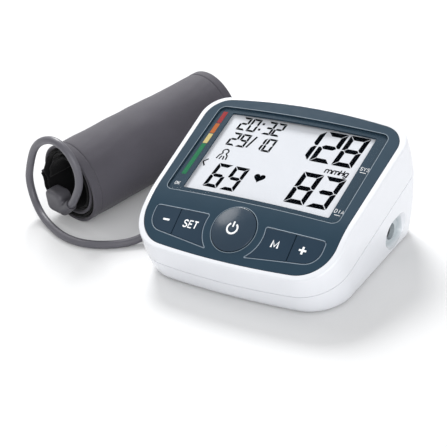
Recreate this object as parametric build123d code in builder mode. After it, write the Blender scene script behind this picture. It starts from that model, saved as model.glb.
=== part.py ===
from build123d import *
from math import asin, cos, radians, sin, sqrt, tan
import os

os.makedirs("parts", exist_ok=True)

# Casing outline: at the base, along the widest line and at the crest.
base_half_width = 59.0
base_front = 47.8
base_rear = 50.5
base_bow = 3.5
base_corner_front = 21.0
base_corner_rear = 12.0
belly_half_width = 65.0
belly_taper = 3.2
belly_front = 55.6
belly_rear = 55.5
belly_height = 26.7
parting_tilt = 15.8
crest_half_width = 63.0
crest_taper = 2.5
crest_front = 62.6
crest_rear = 43.9
crest_rise = 7.0
crest_corner_rear = 14.0
side_bow = 4.5
belly_corner_front = 24.0
belly_corner_rear = 14.0
crest_corner_front = 19.0
wall = 2.2
base_edge_radius = 2.0
rim_edge_radius = 1.3

# Parting line between the shells.
tongue_height = 1.2
tongue_gap = 0.15
reveal_height = 0.4
reveal_depth = 0.5

# Display plane and the bend down to the keys.
display_y = 5.75
display_height = 52.0
display_tilt = 17.5
bend_start = 26.0
bend_radius = 58.0
bend_angle = 15.0
crown_radius = 680.0
keypad_step = 5.48

# Front panel and the deck that carries it.
panel_half_width = 60.8
panel_taper = 2.8
panel_front = 64.0
panel_rear = 41.5
panel_bow_front = 4.6
panel_bow_rear = 3.4
panel_corner_front = 20.0
panel_corner_rear = 13.0
panel_thickness = 2.0
panel_gap = 0.3
deck_thickness = 1.8
deck_side_ledge = 4.4
deck_end_ledge = 2.4

# Window and display.
window_half_width = 53.3
window_front = 30.2
window_rear = 33.8
window_corner = 4.0
window_thickness = 1.0
window_sink = 0.15
window_gap = 0.15
screen_width = 90.0
screen_depth = 57.2
screen_x = 1.5
screen_y = 1.5
glass_margin = 1.3
opening_margin = 0.5
glass_top = 4.0
glass_thickness = 2.0
frame_wall = 1.2
frame_top = 4.2
frame_bottom = 8.5
strip_width = 80.0
strip_depth = 1.8
strip_inset = 3.0

# Main board.
board_thickness = 1.6
board_half_width = 49.0
board_front = 34.6
board_rear = 37.0
panel_post_radius = 1.7
panel_post_x = 30.0
panel_post_front = 32.2
panel_post_rear = 34.6

# Keys, in the keypad plane round the centre of the dome.
dome_radius = 12.75
dome_edge_rise = 0.5
dome_rise = 1.9
ring_radius = 18.5
group_half_width = 52.0
group_top = 5.0
group_outer_drop = 8.0
group_inner_drop = 13.2
group_outer_corner = 9.0
group_top_corner = 2.0
group_inner_corner = 1.5
key_split = 35.6
split_gap = 0.45
key_gap = 0.3
key_rise = 0.25
key_edge_radius = 0.25
flange_top = 2.4
flange_thickness = 0.9
flange_reach = 0.8
dome_flange_top = 3.1
stem_radius = 3.0
stem_bottom = 5.5
inner_stem_x = 27.0
outer_stem_x = 42.5
stem_drop = 2.6
key_travel = 1.0

# Rubber mat and circuit board under the keys.
pad_top = 6.6
mat_top = 6.9
mat_thickness = 1.2
keyboard_thickness = 1.2
keyboard_half_width = 49.0
keyboard_front = 14.5
keyboard_rear = 7.5
keyboard_corner = 3.0
key_post_radius = 1.5
key_post_ring = 15.65
front_post_angle = 50.0
rear_post_angle = 20.0
side_post_x = 38.0
side_post_y = 12.6

# Small screws in the boards.
board_screw_radius = 0.9
board_screw_length = 4.0
board_head_radius = 1.7
board_head_height = 1.1
pilot_gap = 0.05

# Screws that join the shells.
boss_x = 53.1
boss_front_y = -14.0
boss_rear_y = 30.0
boss_radius = 3.4
upper_boss_radius = 3.0
boss_drop = 1.5
boss_web = 2.0
screw_radius = 1.25
screw_head_radius = 2.4
screw_head_height = 1.8
screw_grip = 8.0
screw_bite = 6.0
counterbore_radius = 2.6
recess_length = 2.6
recess_width = 0.8

# Rubber feet.
foot_radius = 5.0
foot_front_x = 46.0
foot_front_y = -32.0
foot_rear_x = 43.5
foot_rear_y = 25.0
foot_recess = 1.0
foot_proud = 1.0
foot_edge_radius = 0.4

# Battery compartment.
bay_half_width = 29.5
bay_front = -20.5
bay_rear = 36.0
bay_height = 17.5
bay_wall = 2.0
cell_radius = 7.25
cell_length = 49.0
cell_button_radius = 2.75
cell_button_length = 1.4
cell_pitch = 14.6
cell_height = 9.9
cell_middle = 7.75
contact_thickness = 0.5
contact_width = 9.0
contact_height = 8.5
contact_bump_radius = 3.0
contact_gap = 0.1

# Battery door.
door_thickness = 1.5
door_rebate = 1.8
door_ledge = 1.4
door_gap = 0.3
tab_x = 14.6
tab_width = 5.0
tab_thickness = 1.2
tab_neck = 1.3
tab_height = 4.4
tab_reach = 2.1
lip_thickness = 1.1
latch_width = 14.0
latch_height = 5.5
thumb_width = 15.0
thumb_length = 5.0
thumb_depth = 1.1
rib_count = 5
rib_length = 12.0
rib_width = 1.0
rib_depth = 0.4
rib_pitch = 2.4

# Pump and valve on the roof of the battery compartment.
pump_y = 24.0
pump_clearance = 0.7  # under the pump head
head_left = -34.0
head_length = 20.0
head_radius = 12.6
motor_length = 32.0
motor_radius = 12.0
motor_cap_radius = 3.5
motor_cap_length = 1.2
motor_groove = 0.4
nozzle_radius = 1.45
nozzle_bore = 0.8
nozzle_length = 4.0
cradle_half_width = 9.0
cradle_rise = 5.0
cradle_width = 2.0
cradle_front_x = -8.0
cradle_rear_x = 12.0
cradle_gap = 0.05
valve_left = 20.0
valve_width = 11.0
valve_depth = 12.0
valve_y = 26.0
valve_height = 16.0

# Small parts under the main board.
chip_side = 12.0
chip_height = 1.4
chip_x = 2.0
chip_y = -14.0
buzzer_radius = 6.0
buzzer_height = 4.0
buzzer_x = 25.0
buzzer_y = -18.0
sensor_width = 12.0
sensor_depth = 10.0
sensor_height = 6.0
sensor_x = -20.0
sensor_y = -15.0

# Cuff socket in the left wall.
socket_y = 12.0
socket_height = 9.5
socket_seat_x = -59.4
socket_pad_radius = 9.2
socket_pad_inner = -55.0
socket_seat_radius = 7.2
socket_flange_radius = 6.6
socket_flange = 1.0
socket_body_radius = 4.6
socket_hole_gap = 0.1
socket_tail = 4.0
socket_barb_length = 4.0
nipple_radius = 3.0
nipple_length = 8.0
nipple_play = 0.04

# Power inlet in a scoop in the right wall.
inlet_y = 21.0
inlet_height = 12.5
inlet_seat_x = 58.6
inlet_pad_inner = 56.0

inlet_pad_radius = 9.5
inlet_radius = 4.6
scoop_half_width = 8.2
scoop_half_height = 5.2
scoop_flare = 45.0
scoop_depth = 6.0
jack_width = 11.0
jack_depth = 12.0
jack_bore = 2.9
jack_pin = 1.0
jack_pin_sink = 1.5

# Inner hose from the socket to the pump.
hose_radius = 2.4
hose_bore = 1.5
hose_bend = 4.0
hose_x = -42.0

# Air tube.
tube_radius = 2.3
tube_bore = 1.4
bend_share = 0.45
tube_route = [
    (-70.0, 3.0, 9.5), (-70.0, -4.0, 9.5), (-71.2, -12.0, 7.6), (-74.5, -19.0, 4.0),
    (-81.0, -26.0, 1.3), (-92.5, -34.0, 1.3), (-107.5, -38.4, 1.3), (-124.0, -36.2, 1.3),
    (-135.7, -30.8, 1.5), (-147.0, -24.8, 1.3), (-155.6, -20.0, 5.1), (-160.5, -16.8, 13.1),
    (-160.9, -16.1, 22.7), (-157.1, -16.9, 30.9), (-152.3, -18.3, 39.0), (-145.4, -20.2, 46.0),
    (-138.2, -22.0, 54.9), (-125.1, -24.6, 59.1), (-113.6, -26.9, 53.6), (-108.7, -27.7, 41.6),
    (-112.8, -26.5, 29.6), (-117.8, -25.0, 23.7), (-121.5, -24.2, 17.7), (-126.5, -22.9, 13.8),
]

# Air plug on the casing end of the tube.
plug_radius = 5.0
plug_gap = 0.5
plug_tail = 5.0
boot_radius = 3.8
boot_overlap = 3.0
boot_play = 0.04
grip_groove = 0.4
grip_groove_width = 0.9
grip_count = 4

# Rolled cuff: half turns that shrink by half the pitch each time.
cuff_x = -132.15
cuff_y = -15.2
cuff_angle = 76.0
cuff_length = 114.0
roll_radius = 25.6
roll_pitch = 4.6
half_turns = 4
cover_thickness = 1.6
bladder_thickness = 1.0
lining_thickness = 1.2
layer_gap = 0.1
bladder_inset = 8.0
patch_thickness = 0.8
patch_start = 188.0
patch_sweep = 48.0
patch_inset = 10.0

# Port of the cuff, where the tube goes in.
port_x = -5.0
port_y = -11.4
port_width = 15.0
port_height = 14.0
port_depth = 9.0
port_corner = 4.0
port_edge_radius = 2.0
port_boot_radius = 3.4
port_boot_length = 12.0


def tilted(origin, tilt):
    angle = radians(tilt)
    return Plane(origin=origin, x_dir=(1, 0, 0), z_dir=(0, -sin(angle), cos(angle)))


floor = Plane.XY
parting = tilted((0, 0, belly_height), parting_tilt)
display = tilted((0, display_y, display_height), display_tilt)
keypad_y = bend_start + bend_radius * sin(radians(bend_angle)) + keypad_step * cos(radians(bend_angle))
keypad_z = bend_radius * (1 - cos(radians(bend_angle))) + keypad_step * sin(radians(bend_angle))
keypad = tilted(display.from_local_coords((0, -keypad_y, -keypad_z)), display_tilt + bend_angle)
keypad_axis = Axis(keypad.origin, keypad.z_dir)
profile = Plane(origin=display.origin, x_dir=display.y_dir, z_dir=(1, 0, 0))
reach = 2.8 * belly_half_width


def outline(half_width, taper, front, rear, bow_front, bow_rear, corner_front, corner_rear, inset):
    low = half_width - taper - inset
    high = half_width - inset
    near = inset - front
    far = rear - inset
    with BuildSketch() as shape:
        with BuildLine():
            ThreePointArc((-low, near + bow_front), (0, near), (low, near + bow_front))
            Line((low, near + bow_front), (high, far - bow_rear))
            ThreePointArc((high, far - bow_rear), (0, far), (-high, far - bow_rear))
            Line((-high, far - bow_rear), (-low, near + bow_front))
        make_face()
        fillet(shape.vertices().group_by(Axis.Y)[0], corner_front - inset)
        fillet(shape.vertices().group_by(Axis.Y)[-1], corner_rear - inset)
    return shape.sketch


def form(inset):
    with BuildPart() as body:
        with BuildSketch(floor.offset(inset)):
            add(outline(base_half_width, 0, base_front, base_rear, base_bow, base_bow,
                        base_corner_front, base_corner_rear, inset))
        with BuildSketch(parting):
            add(outline(belly_half_width, belly_taper, belly_front, belly_rear, side_bow, side_bow,
                        belly_corner_front, belly_corner_rear, inset))
        with BuildSketch(display.offset(crest_rise)):
            add(outline(crest_half_width, crest_taper, crest_front, crest_rear, side_bow, side_bow,
                        crest_corner_front, crest_corner_rear, inset))
        loft()
    return body.part


def space_above(level):
    with BuildPart() as space:
        with BuildLine(profile) as path:
            straight = Line((reach / 2, level), (-bend_start, level))
            bend = JernArc(straight @ 1, straight % 1, bend_radius + level, bend_angle)
            Line(bend @ 1, bend @ 1 + (bend % 1) * reach / 2)
        with BuildSketch(Plane(origin=path.line @ 0, x_dir=(1, 0, 0), z_dir=-display.y_dir)):
            radius = crown_radius + level
            drop = radius - sqrt(radius * radius - reach * reach / 4)
            with BuildLine():
                ThreePointArc((-reach / 2, -drop), (0, 0), (reach / 2, -drop))
                Polyline((reach / 2, -drop), (reach / 2, reach / 2), (-reach / 2, reach / 2),
                         (-reach / 2, -drop))
            make_face()
        sweep()
    return space.part


def column(plane, shape):
    with BuildPart() as body:
        with BuildSketch(plane.offset(-reach / 8)):
            add(shape)
        extrude(amount=reach / 4)
    return body.part


def slab(plane, shape, low, high):
    with BuildPart() as body:
        add(column(plane, shape))
        add(space_above(low), mode=Mode.INTERSECT)
        add(space_above(high), mode=Mode.SUBTRACT)
    return body.part


def panel_shape(inset):
    return outline(panel_half_width, panel_taper, panel_front, panel_rear, panel_bow_front,
                   panel_bow_rear, panel_corner_front, panel_corner_rear, inset)


def deck_shape():
    ledge = deck_side_ledge
    return outline(panel_half_width - ledge, panel_taper, panel_front - deck_end_ledge,
                   panel_rear - deck_end_ledge, panel_bow_front, panel_bow_rear,
                   panel_corner_front - ledge / 2, panel_corner_rear - ledge / 2, 0)


def window_shape(inset):
    with BuildSketch() as shape:
        with Locations((0, (window_rear - window_front) / 2)):
            RectangleRounded(2 * (window_half_width - inset), window_front + window_rear - 2 * inset,
                             window_corner - inset)
    return shape.sketch


def screen_shape(margin, corner):
    with BuildSketch() as shape:
        with Locations((screen_x, screen_y)):
            RectangleRounded(screen_width + 2 * margin, screen_depth + 2 * margin, corner)
    return shape.sketch


def group_shape(grow, low, high):
    top_x = sqrt(ring_radius ** 2 - group_top ** 2)
    foot_x = sqrt(ring_radius ** 2 - group_inner_drop ** 2)
    middle = (asin(group_top / ring_radius) - asin(group_inner_drop / ring_radius)) / 2
    with BuildSketch() as shape:
        with BuildLine():
            Polyline((top_x, group_top), (group_half_width, group_top),
                     (group_half_width, -group_outer_drop), (foot_x, -group_inner_drop))
            ThreePointArc((foot_x, -group_inner_drop),
                          (ring_radius * cos(middle), ring_radius * sin(middle)), (top_x, group_top))
        make_face()
        outer = shape.vertices().sort_by(Axis.X)[-2:].sort_by(Axis.Y)
        inner = shape.vertices().sort_by(Axis.X)[:2]
        fillet(outer[0], group_outer_corner)
        fillet(outer[1], group_top_corner)
        fillet(inner, group_inner_corner)
        if grow:
            offset(amount=grow)
        with Locations(((low + high) / 2, 0)):
            Rectangle(high - low, 4 * ring_radius, mode=Mode.INTERSECT)
    return shape.sketch


def key(low, high, stem_x):
    with BuildPart() as body:
        add(slab(keypad, group_shape(0, low, high), -flange_top - flange_thickness / 2, key_rise))
        top = body.faces().sort_by(keypad_axis)[-1]
        fillet(top.edges(), key_edge_radius)
        add(slab(keypad, group_shape(flange_reach, low, high), -flange_top - flange_thickness, -flange_top))
        with BuildSketch(keypad.offset(-stem_bottom)):
            with Locations((stem_x, -stem_drop)):
                Circle(stem_radius)
        extrude(amount=stem_bottom - flange_top)
    return body.part


def block(plane, x, y, width, depth, low, high):
    with BuildPart() as body:
        with BuildSketch(plane.offset(low)):
            with Locations((x, y)):
                Rectangle(width, depth)
        extrude(amount=high - low)
    return body.part


def pegs(plane, points, radius, low, high):
    with BuildPart() as body:
        with BuildSketch(plane.offset(low)):
            with Locations(*points):
                Circle(radius)
        extrude(amount=high - low)
    return body.part


def shaft(x, y, z, radius, length):
    # Round bar along X that starts at x.
    with BuildPart() as body:
        with BuildSketch(Plane(origin=(x, y, z), x_dir=(0, 1, 0), z_dir=(1, 0, 0))):
            Circle(radius)
        extrude(amount=length)
    return body.part


def corners(x, low, high):
    return [(-x, low), (x, low), (-x, high), (x, high)]


def joint(y):
    return belly_height + y * tan(radians(parting_tilt)) - boss_drop


def boss_columns(radius, low, high):
    # Round columns at the four shell screws, from the floor or from the joint of each boss.
    with BuildPart() as body:
        for y in (boss_front_y, boss_rear_y):
            bottom = 0 if low is None else joint(y) + low
            add(pegs(floor, [(-boss_x, y), (boss_x, y)], radius, bottom, joint(y) + high))
    return body.part


def boss_webs(low, high):
    with BuildPart() as body:
        for y in (boss_front_y, boss_rear_y):
            bottom = 0 if low is None else joint(y) + low
            for side in (-1, 1):
                middle = side * (boss_x + boss_radius + boss_web)
                add(block(floor, middle, y, 2 * (boss_radius + boss_web), boss_web, bottom, joint(y) + high))
    return body.part


def between(body, low, high):
    # The part of a body that lies between two heights over the parting line.
    with BuildPart() as band:
        add(body)
        split(bisect_by=parting.offset(low), keep=Keep.TOP)
        split(bisect_by=parting.offset(high), keep=Keep.BOTTOM)
    return band.part


def ring(outer, inner, low, high):
    with BuildPart() as band:
        add(between(form(outer), low, high))
        add(form(inner), mode=Mode.SUBTRACT)
    return band.part


def save(body, name):
    body.label = name
    export_step(body, "parts/" + name + ".step")
    print(name, round(body.volume), "mm3")


# Positions that several pieces share.
deck_bottom = panel_thickness + deck_thickness
boss_points = corners(boss_x, boss_front_y, boss_rear_y)
foot_points = [(-foot_front_x, foot_front_y), (foot_front_x, foot_front_y),
               (-foot_rear_x, foot_rear_y), (foot_rear_x, foot_rear_y)]
panel_post_points = corners(panel_post_x, -panel_post_front, panel_post_rear)
key_post_points = [(key_post_ring * cos(radians(-front_post_angle)) * side,
                    key_post_ring * sin(radians(-front_post_angle))) for side in (-1, 1)]
key_post_points += [(key_post_ring * cos(radians(rear_post_angle)) * side,
                     key_post_ring * sin(radians(rear_post_angle))) for side in (-1, 1)]
key_post_points += [(-side_post_x, -side_post_y), (side_post_x, -side_post_y)]
stem_points = [(0, 0), (-inner_stem_x, -stem_drop), (inner_stem_x, -stem_drop),
               (-outer_stem_x, -stem_drop), (outer_stem_x, -stem_drop)]
mat_bottom = mat_top + mat_thickness
keyboard_bottom = mat_bottom + keyboard_thickness
board_bottom = frame_bottom + board_thickness
bay_top = bay_height + bay_wall
pump_height = bay_top + pump_clearance + head_radius
bay_middle = (bay_front + bay_rear) / 2
bay_length = bay_rear - bay_front
bay_outer_width = 2 * (bay_half_width + bay_wall)
hinge_y = bay_front - door_ledge + door_gap + door_thickness / 2
tab_front = bay_front + door_gap - tab_reach
head_right = head_left + head_length
socket_inner = socket_pad_inner + socket_tail

# Lower shell.
with BuildPart() as room:
    add(form(wall))
    with Locations((0, bay_middle, 0)):
        Box(bay_outer_width, bay_length + 2 * bay_wall, 2 * bay_top, mode=Mode.SUBTRACT)
    add(boss_columns(boss_radius, None, 0), mode=Mode.SUBTRACT)
    add(boss_webs(None, 0), mode=Mode.SUBTRACT)
    add(shaft(socket_seat_x, socket_y, socket_height, socket_pad_radius,
              socket_pad_inner - socket_seat_x), mode=Mode.SUBTRACT)
    add(shaft(inlet_pad_inner, inlet_y, inlet_height, inlet_pad_radius, wall * 2),
        mode=Mode.SUBTRACT)

with BuildPart() as lower_shell:
    add(between(form(0), -2 * belly_height, 0))
    fillet(lower_shell.faces().sort_by(Axis.Z)[0].edges(), base_edge_radius)
    add(room.part, mode=Mode.SUBTRACT)
    add(ring(wall / 2, wall, 0, tongue_height))
    # Cradle ribs under the pump.
    for x in (cradle_front_x, cradle_rear_x):
        add(block(floor, x, pump_y, cradle_width, 2 * cradle_half_width, bay_top, bay_top + cradle_rise))
    add(shaft(head_right, pump_y, pump_height, motor_radius + cradle_gap, motor_length), mode=Mode.SUBTRACT)
    # Battery bay, the rebate for its door and the slots for the door's tabs.
    add(block(floor, 0, bay_middle, 2 * bay_half_width, bay_length, 0, bay_height), mode=Mode.SUBTRACT)
    add(block(floor, 0, bay_middle, 2 * (bay_half_width + door_ledge), bay_length + 2 * door_ledge,
              0, door_rebate), mode=Mode.SUBTRACT)
    for side in (-1, 1):
        add(block(floor, side * tab_x, bay_front - bay_wall / 2, tab_width + 2 * door_gap, 2 * bay_wall,
                  door_rebate + lip_thickness, tab_height + 2 * door_gap + wall / 2), mode=Mode.SUBTRACT)
    # Thumb scoop behind the door.
    with BuildSketch(floor):
        with Locations((0, bay_rear + door_ledge)):
            SlotCenterToCenter(thumb_width - thumb_length, 2 * thumb_length)
    extrude(amount=thumb_depth, mode=Mode.SUBTRACT)
    # Feet and screws.
    add(pegs(floor, foot_points, foot_radius + tongue_gap, 0, foot_recess), mode=Mode.SUBTRACT)
    add(boss_columns(counterbore_radius, None, -screw_grip), mode=Mode.SUBTRACT)
    add(boss_columns(screw_radius + 2 * pilot_gap, -screw_grip, 0), mode=Mode.SUBTRACT)
    # Seat and hole of the cuff socket.
    add(shaft(socket_seat_x - wall * 2, socket_y, socket_height, socket_seat_radius, wall * 2),
        mode=Mode.SUBTRACT)
    add(shaft(socket_seat_x - wall, socket_y, socket_height, socket_body_radius + socket_hole_gap,
              wall * 4), mode=Mode.SUBTRACT)
    # Scoop and hole of the power inlet.
    with BuildSketch(Plane(origin=(inlet_seat_x, inlet_y, inlet_height), x_dir=(0, 1, 0), z_dir=(1, 0, 0))):
        SlotOverall(2 * scoop_half_width, 2 * scoop_half_height)
    extrude(amount=scoop_depth, taper=-scoop_flare, mode=Mode.SUBTRACT)
    add(shaft(inlet_pad_inner - wall, inlet_y, inlet_height, inlet_radius, wall * 3), mode=Mode.SUBTRACT)
save(lower_shell.part, "lower_shell")

# Upper shell: crowned top, recess for the panel, deck under it and a groove for the tongue.
with BuildPart() as upper_room:
    add(form(wall))
    add(space_above(-deck_bottom), mode=Mode.SUBTRACT)
    add(boss_columns(upper_boss_radius, 0, 2 * belly_height), mode=Mode.SUBTRACT)
    add(boss_webs(0, 2 * belly_height), mode=Mode.SUBTRACT)

with BuildPart() as upper_shell:
    add(between(form(0), 0, 2 * belly_height))
    add(space_above(0), mode=Mode.SUBTRACT)
    crown = upper_shell.faces().filter_by(lambda face: face.geom_type != GeomType.BSPLINE)
    crown = [face for face in crown.filter_by(lambda face: face.geom_type != GeomType.PLANE)]
    rim = [edge for edge in upper_shell.edges()
           if sum(1 for face in crown if any(edge.is_same(other) for other in face.edges())) == 1]
    fillet(rim, rim_edge_radius)
    add(slab(display, panel_shape(-panel_gap), -panel_thickness, reach / 8), mode=Mode.SUBTRACT)
    add(upper_room.part, mode=Mode.SUBTRACT)
    add(slab(display, deck_shape(), -deck_bottom - deck_thickness / 4, 0), mode=Mode.SUBTRACT)
    add(ring(wall / 2 - tongue_gap, wall + tongue_gap, -wall, tongue_height + tongue_gap), mode=Mode.SUBTRACT)
    add(ring(-wall, reveal_depth, -wall, reveal_height), mode=Mode.SUBTRACT)
    add(boss_columns(upper_boss_radius, 0, 2 * boss_drop))
    add(boss_columns(screw_radius + pilot_gap, 0, screw_bite + boss_drop), mode=Mode.SUBTRACT)
save(upper_shell.part, "upper_shell")

# Front panel with its window rebate, key openings and posts for the boards.
with BuildPart() as panel_posts:
    add(pegs(display, panel_post_points, panel_post_radius, -frame_bottom, 0))
    add(pegs(keypad, key_post_points, key_post_radius, -mat_bottom, 0))
    add(space_above(-0.75 * panel_thickness), mode=Mode.SUBTRACT)

with BuildPart() as key_openings:
    for side in (1, -1):
        opening = group_shape(key_gap, 0, 2 * group_half_width)
        add(column(keypad, opening if side > 0 else mirror(opening, about=Plane.YZ)))
    with BuildSketch(keypad.offset(-mat_bottom)):
        Circle(dome_radius + key_gap)
    extrude(amount=2 * mat_bottom)

with BuildPart() as front_panel:
    add(slab(display, panel_shape(0), -panel_thickness, 0))
    add(slab(display, window_shape(-window_gap), -window_sink - window_thickness, panel_thickness),
        mode=Mode.SUBTRACT)
    add(column(display, screen_shape(opening_margin, 1)), mode=Mode.SUBTRACT)
    add(key_openings.part, mode=Mode.SUBTRACT)
    add(panel_posts.part)
    add(pegs(display, panel_post_points, board_screw_radius + pilot_gap, -frame_bottom,
             board_screw_length - frame_bottom + pilot_gap), mode=Mode.SUBTRACT)
    add(pegs(keypad, key_post_points, board_screw_radius + pilot_gap, -mat_bottom,
             board_screw_length - mat_bottom + pilot_gap), mode=Mode.SUBTRACT)
save(front_panel.part, "front_panel")

with BuildPart() as display_window:
    add(slab(display, window_shape(0), -window_sink - window_thickness, -window_sink))
save(display_window.part, "display_window")

# Display: glass in a frame, joined to the board by a rubber contact strip.
glass_bottom = glass_top + glass_thickness
glass_width = screen_width + 2 * glass_margin
glass_depth = screen_depth + 2 * glass_margin
strip_y = screen_y - glass_depth / 2 + strip_inset

with BuildPart() as lcd_glass:
    add(block(display, screen_x, screen_y, glass_width, glass_depth, -glass_bottom, -glass_top))
save(lcd_glass.part, "lcd_glass")

with BuildPart() as display_frame:
    add(block(display, screen_x, screen_y, glass_width + 2 * frame_wall, glass_depth + 2 * frame_wall,
              -frame_bottom, -frame_top))
    add(block(display, screen_x, screen_y, glass_width + 2 * tongue_gap, glass_depth + 2 * tongue_gap,
              -glass_bottom, 0), mode=Mode.SUBTRACT)
    add(block(display, screen_x, strip_y, strip_width + 2 * tongue_gap, strip_depth + 2 * tongue_gap,
              -frame_bottom, 0), mode=Mode.SUBTRACT)
save(display_frame.part, "display_frame")

with BuildPart() as contact_strip:
    add(block(display, screen_x, strip_y, strip_width, strip_depth, -frame_bottom, -glass_bottom))
save(contact_strip.part, "contact_strip")

# Boards, their screws and the parts under the main board.
with BuildPart() as main_board:
    add(block(display, 0, (board_rear - board_front) / 2, 2 * board_half_width,
              board_front + board_rear, -board_bottom, -frame_bottom))
    add(pegs(display, panel_post_points, board_screw_radius + 2 * pilot_gap, -board_bottom, 0),
        mode=Mode.SUBTRACT)
save(main_board.part, "main_board")

with BuildPart() as key_board:
    with BuildSketch(keypad.offset(-keyboard_bottom)):
        with Locations((0, (keyboard_rear - keyboard_front) / 2)):
            RectangleRounded(2 * keyboard_half_width, keyboard_front + keyboard_rear, keyboard_corner)
    extrude(amount=keyboard_thickness)
    add(pegs(keypad, key_post_points, board_screw_radius + 2 * pilot_gap, -keyboard_bottom, 0),
        mode=Mode.SUBTRACT)
save(key_board.part, "key_board")

with BuildPart() as key_mat:
    with BuildSketch(keypad.offset(-mat_bottom)):
        with Locations((0, (keyboard_rear - keyboard_front) / 2)):
            RectangleRounded(2 * keyboard_half_width, keyboard_front + keyboard_rear, keyboard_corner)
    extrude(amount=mat_thickness)
    add(pegs(keypad, stem_points, stem_radius, -mat_top, -pad_top))
    add(pegs(keypad, key_post_points, key_post_radius + key_gap, -mat_bottom, 0), mode=Mode.SUBTRACT)
save(key_mat.part, "key_mat")

with BuildPart() as board_screws:
    add(pegs(display, panel_post_points, board_head_radius, -board_bottom - board_head_height, -board_bottom))
    add(pegs(display, panel_post_points, board_screw_radius, -board_bottom, board_screw_length - frame_bottom))
    add(pegs(keypad, key_post_points, board_head_radius, -keyboard_bottom - board_head_height,
             -keyboard_bottom))
    add(pegs(keypad, key_post_points, board_screw_radius, -keyboard_bottom, board_screw_length - mat_bottom))
save(board_screws.part, "board_screws")

with BuildPart() as main_chip:
    add(block(display, chip_x, chip_y, chip_side, chip_side, -board_bottom - chip_height, -board_bottom))
save(main_chip.part, "main_chip")

with BuildPart() as buzzer:
    add(pegs(display, [(buzzer_x, buzzer_y)], buzzer_radius, -board_bottom - buzzer_height, -board_bottom))
    add(pegs(display, [(buzzer_x, buzzer_y)], buzzer_radius / 6, -board_bottom - buzzer_height,
             -board_bottom - buzzer_height / 2), mode=Mode.SUBTRACT)
save(buzzer.part, "buzzer")

with BuildPart() as pressure_sensor:
    add(block(display, sensor_x, sensor_y, sensor_width, sensor_depth, -board_bottom - sensor_height,
              -board_bottom))
    add(pegs(display, [(sensor_x, sensor_y)], nozzle_radius, -board_bottom - sensor_height - nozzle_length,
             -board_bottom - sensor_height))
save(pressure_sensor.part, "pressure_sensor")

# Keys.
with BuildPart() as memory_key:
    add(key(0, key_split - split_gap / 2, inner_stem_x))
save(memory_key.part, "memory_key")

with BuildPart() as plus_key:
    add(key(key_split + split_gap / 2, 2 * group_half_width, outer_stem_x))
save(plus_key.part, "plus_key")

with BuildPart() as set_key:
    add(mirror(memory_key.part, about=Plane.YZ))
save(set_key.part, "set_key")

with BuildPart() as minus_key:
    add(mirror(plus_key.part, about=Plane.YZ))
save(minus_key.part, "minus_key")

with BuildPart() as power_button:
    with BuildSketch(Plane(origin=keypad.origin, x_dir=(1, 0, 0), z_dir=-keypad.y_dir)) as dome:
        flange_bottom = dome_flange_top + flange_thickness
        with BuildLine():
            Polyline((0, dome_rise), (0, -stem_bottom), (stem_radius, -stem_bottom),
                     (stem_radius, -flange_bottom), (dome_radius + flange_reach, -flange_bottom),
                     (dome_radius + flange_reach, -dome_flange_top), (dome_radius, -dome_flange_top),
                     (dome_radius, dome_edge_rise))
            TangentArc((0, dome_rise), (dome_radius, dome_edge_rise), tangent=(1, 0))
        make_face()
        fillet(dome.vertices().sort_by(Axis.Y)[-2], dome_edge_rise)
    revolve(axis=keypad_axis)
save(power_button.part, "power_button")

# Feet and shell screws.
with BuildPart() as rubber_feet:
    add(pegs(floor, foot_points, foot_radius, -foot_proud, foot_recess))
    fillet(rubber_feet.edges().filter_by(GeomType.CIRCLE).group_by(Axis.Z)[0], foot_edge_radius)
save(rubber_feet.part, "rubber_feet")

with BuildPart() as housing_screws:
    add(boss_columns(screw_head_radius, -screw_grip - screw_head_height, -screw_grip))
    add(boss_columns(screw_radius, -screw_grip, screw_bite))
    for x, y in boss_points:
        low = joint(y) - screw_grip - screw_head_height
        add(block(floor, x, y, recess_length, recess_width, low, low + recess_width), mode=Mode.SUBTRACT)
        add(block(floor, x, y, recess_width, recess_length, low, low + recess_width), mode=Mode.SUBTRACT)
save(housing_screws.part, "housing_screws")

# Battery door: a plate on a round front edge, with two tabs that hook over the shell's lip.
door_front = bay_front - door_ledge + door_gap
door_rear = bay_rear + door_ledge - door_gap
door_half_width = bay_half_width + door_ledge - door_gap
with BuildPart() as battery_door:
    add(block(floor, 0, (hinge_y + door_rear) / 2, 2 * door_half_width, door_rear - hinge_y, 0,
              door_thickness))
    with BuildSketch(Plane(origin=(-door_half_width, hinge_y, door_thickness / 2), x_dir=(0, 1, 0),
                           z_dir=(1, 0, 0))):
        Circle(door_thickness / 2)
    extrude(amount=2 * door_half_width)
    for side in (-1, 1):
        neck = bay_front + door_gap + tab_neck / 2
        add(block(floor, side * tab_x, neck, tab_width, tab_neck, door_thickness / 2, tab_height))
        tab_rear = bay_front + door_gap + tab_neck
        add(block(floor, side * tab_x, (tab_front + tab_rear) / 2, tab_width, tab_rear - tab_front,
                  tab_height - tab_thickness, tab_height))
    add(block(floor, 0, bay_rear - door_gap - tab_neck / 2, latch_width, tab_neck, door_thickness,
              latch_height))
    for step in range(rib_count):
        y = door_rear - thumb_length - step * rib_pitch
        add(block(floor, 0, y, rib_length, rib_width, 0, rib_depth), mode=Mode.SUBTRACT)
save(battery_door.part, "battery_door")

# Four cells, laid side by side in alternate directions, and their leaf contacts.
with BuildPart() as batteries:
    for place in range(4):
        x = (place - 1.5) * cell_pitch
        way = 1 if place % 2 else -1
        with BuildSketch(Plane(origin=(x, cell_middle - way * (cell_length + cell_button_length) / 2,
                                       cell_height), x_dir=(way, 0, 0), z_dir=(0, way, 0))):
            Circle(cell_radius)
        extrude(amount=cell_length)
        with BuildSketch(Plane(origin=(x, cell_middle + way * (cell_length - cell_button_length) / 2,
                                       cell_height), x_dir=(way, 0, 0), z_dir=(0, way, 0))):
            Circle(cell_button_radius)
        extrude(amount=cell_button_length)
save(batteries.part, "batteries")

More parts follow.
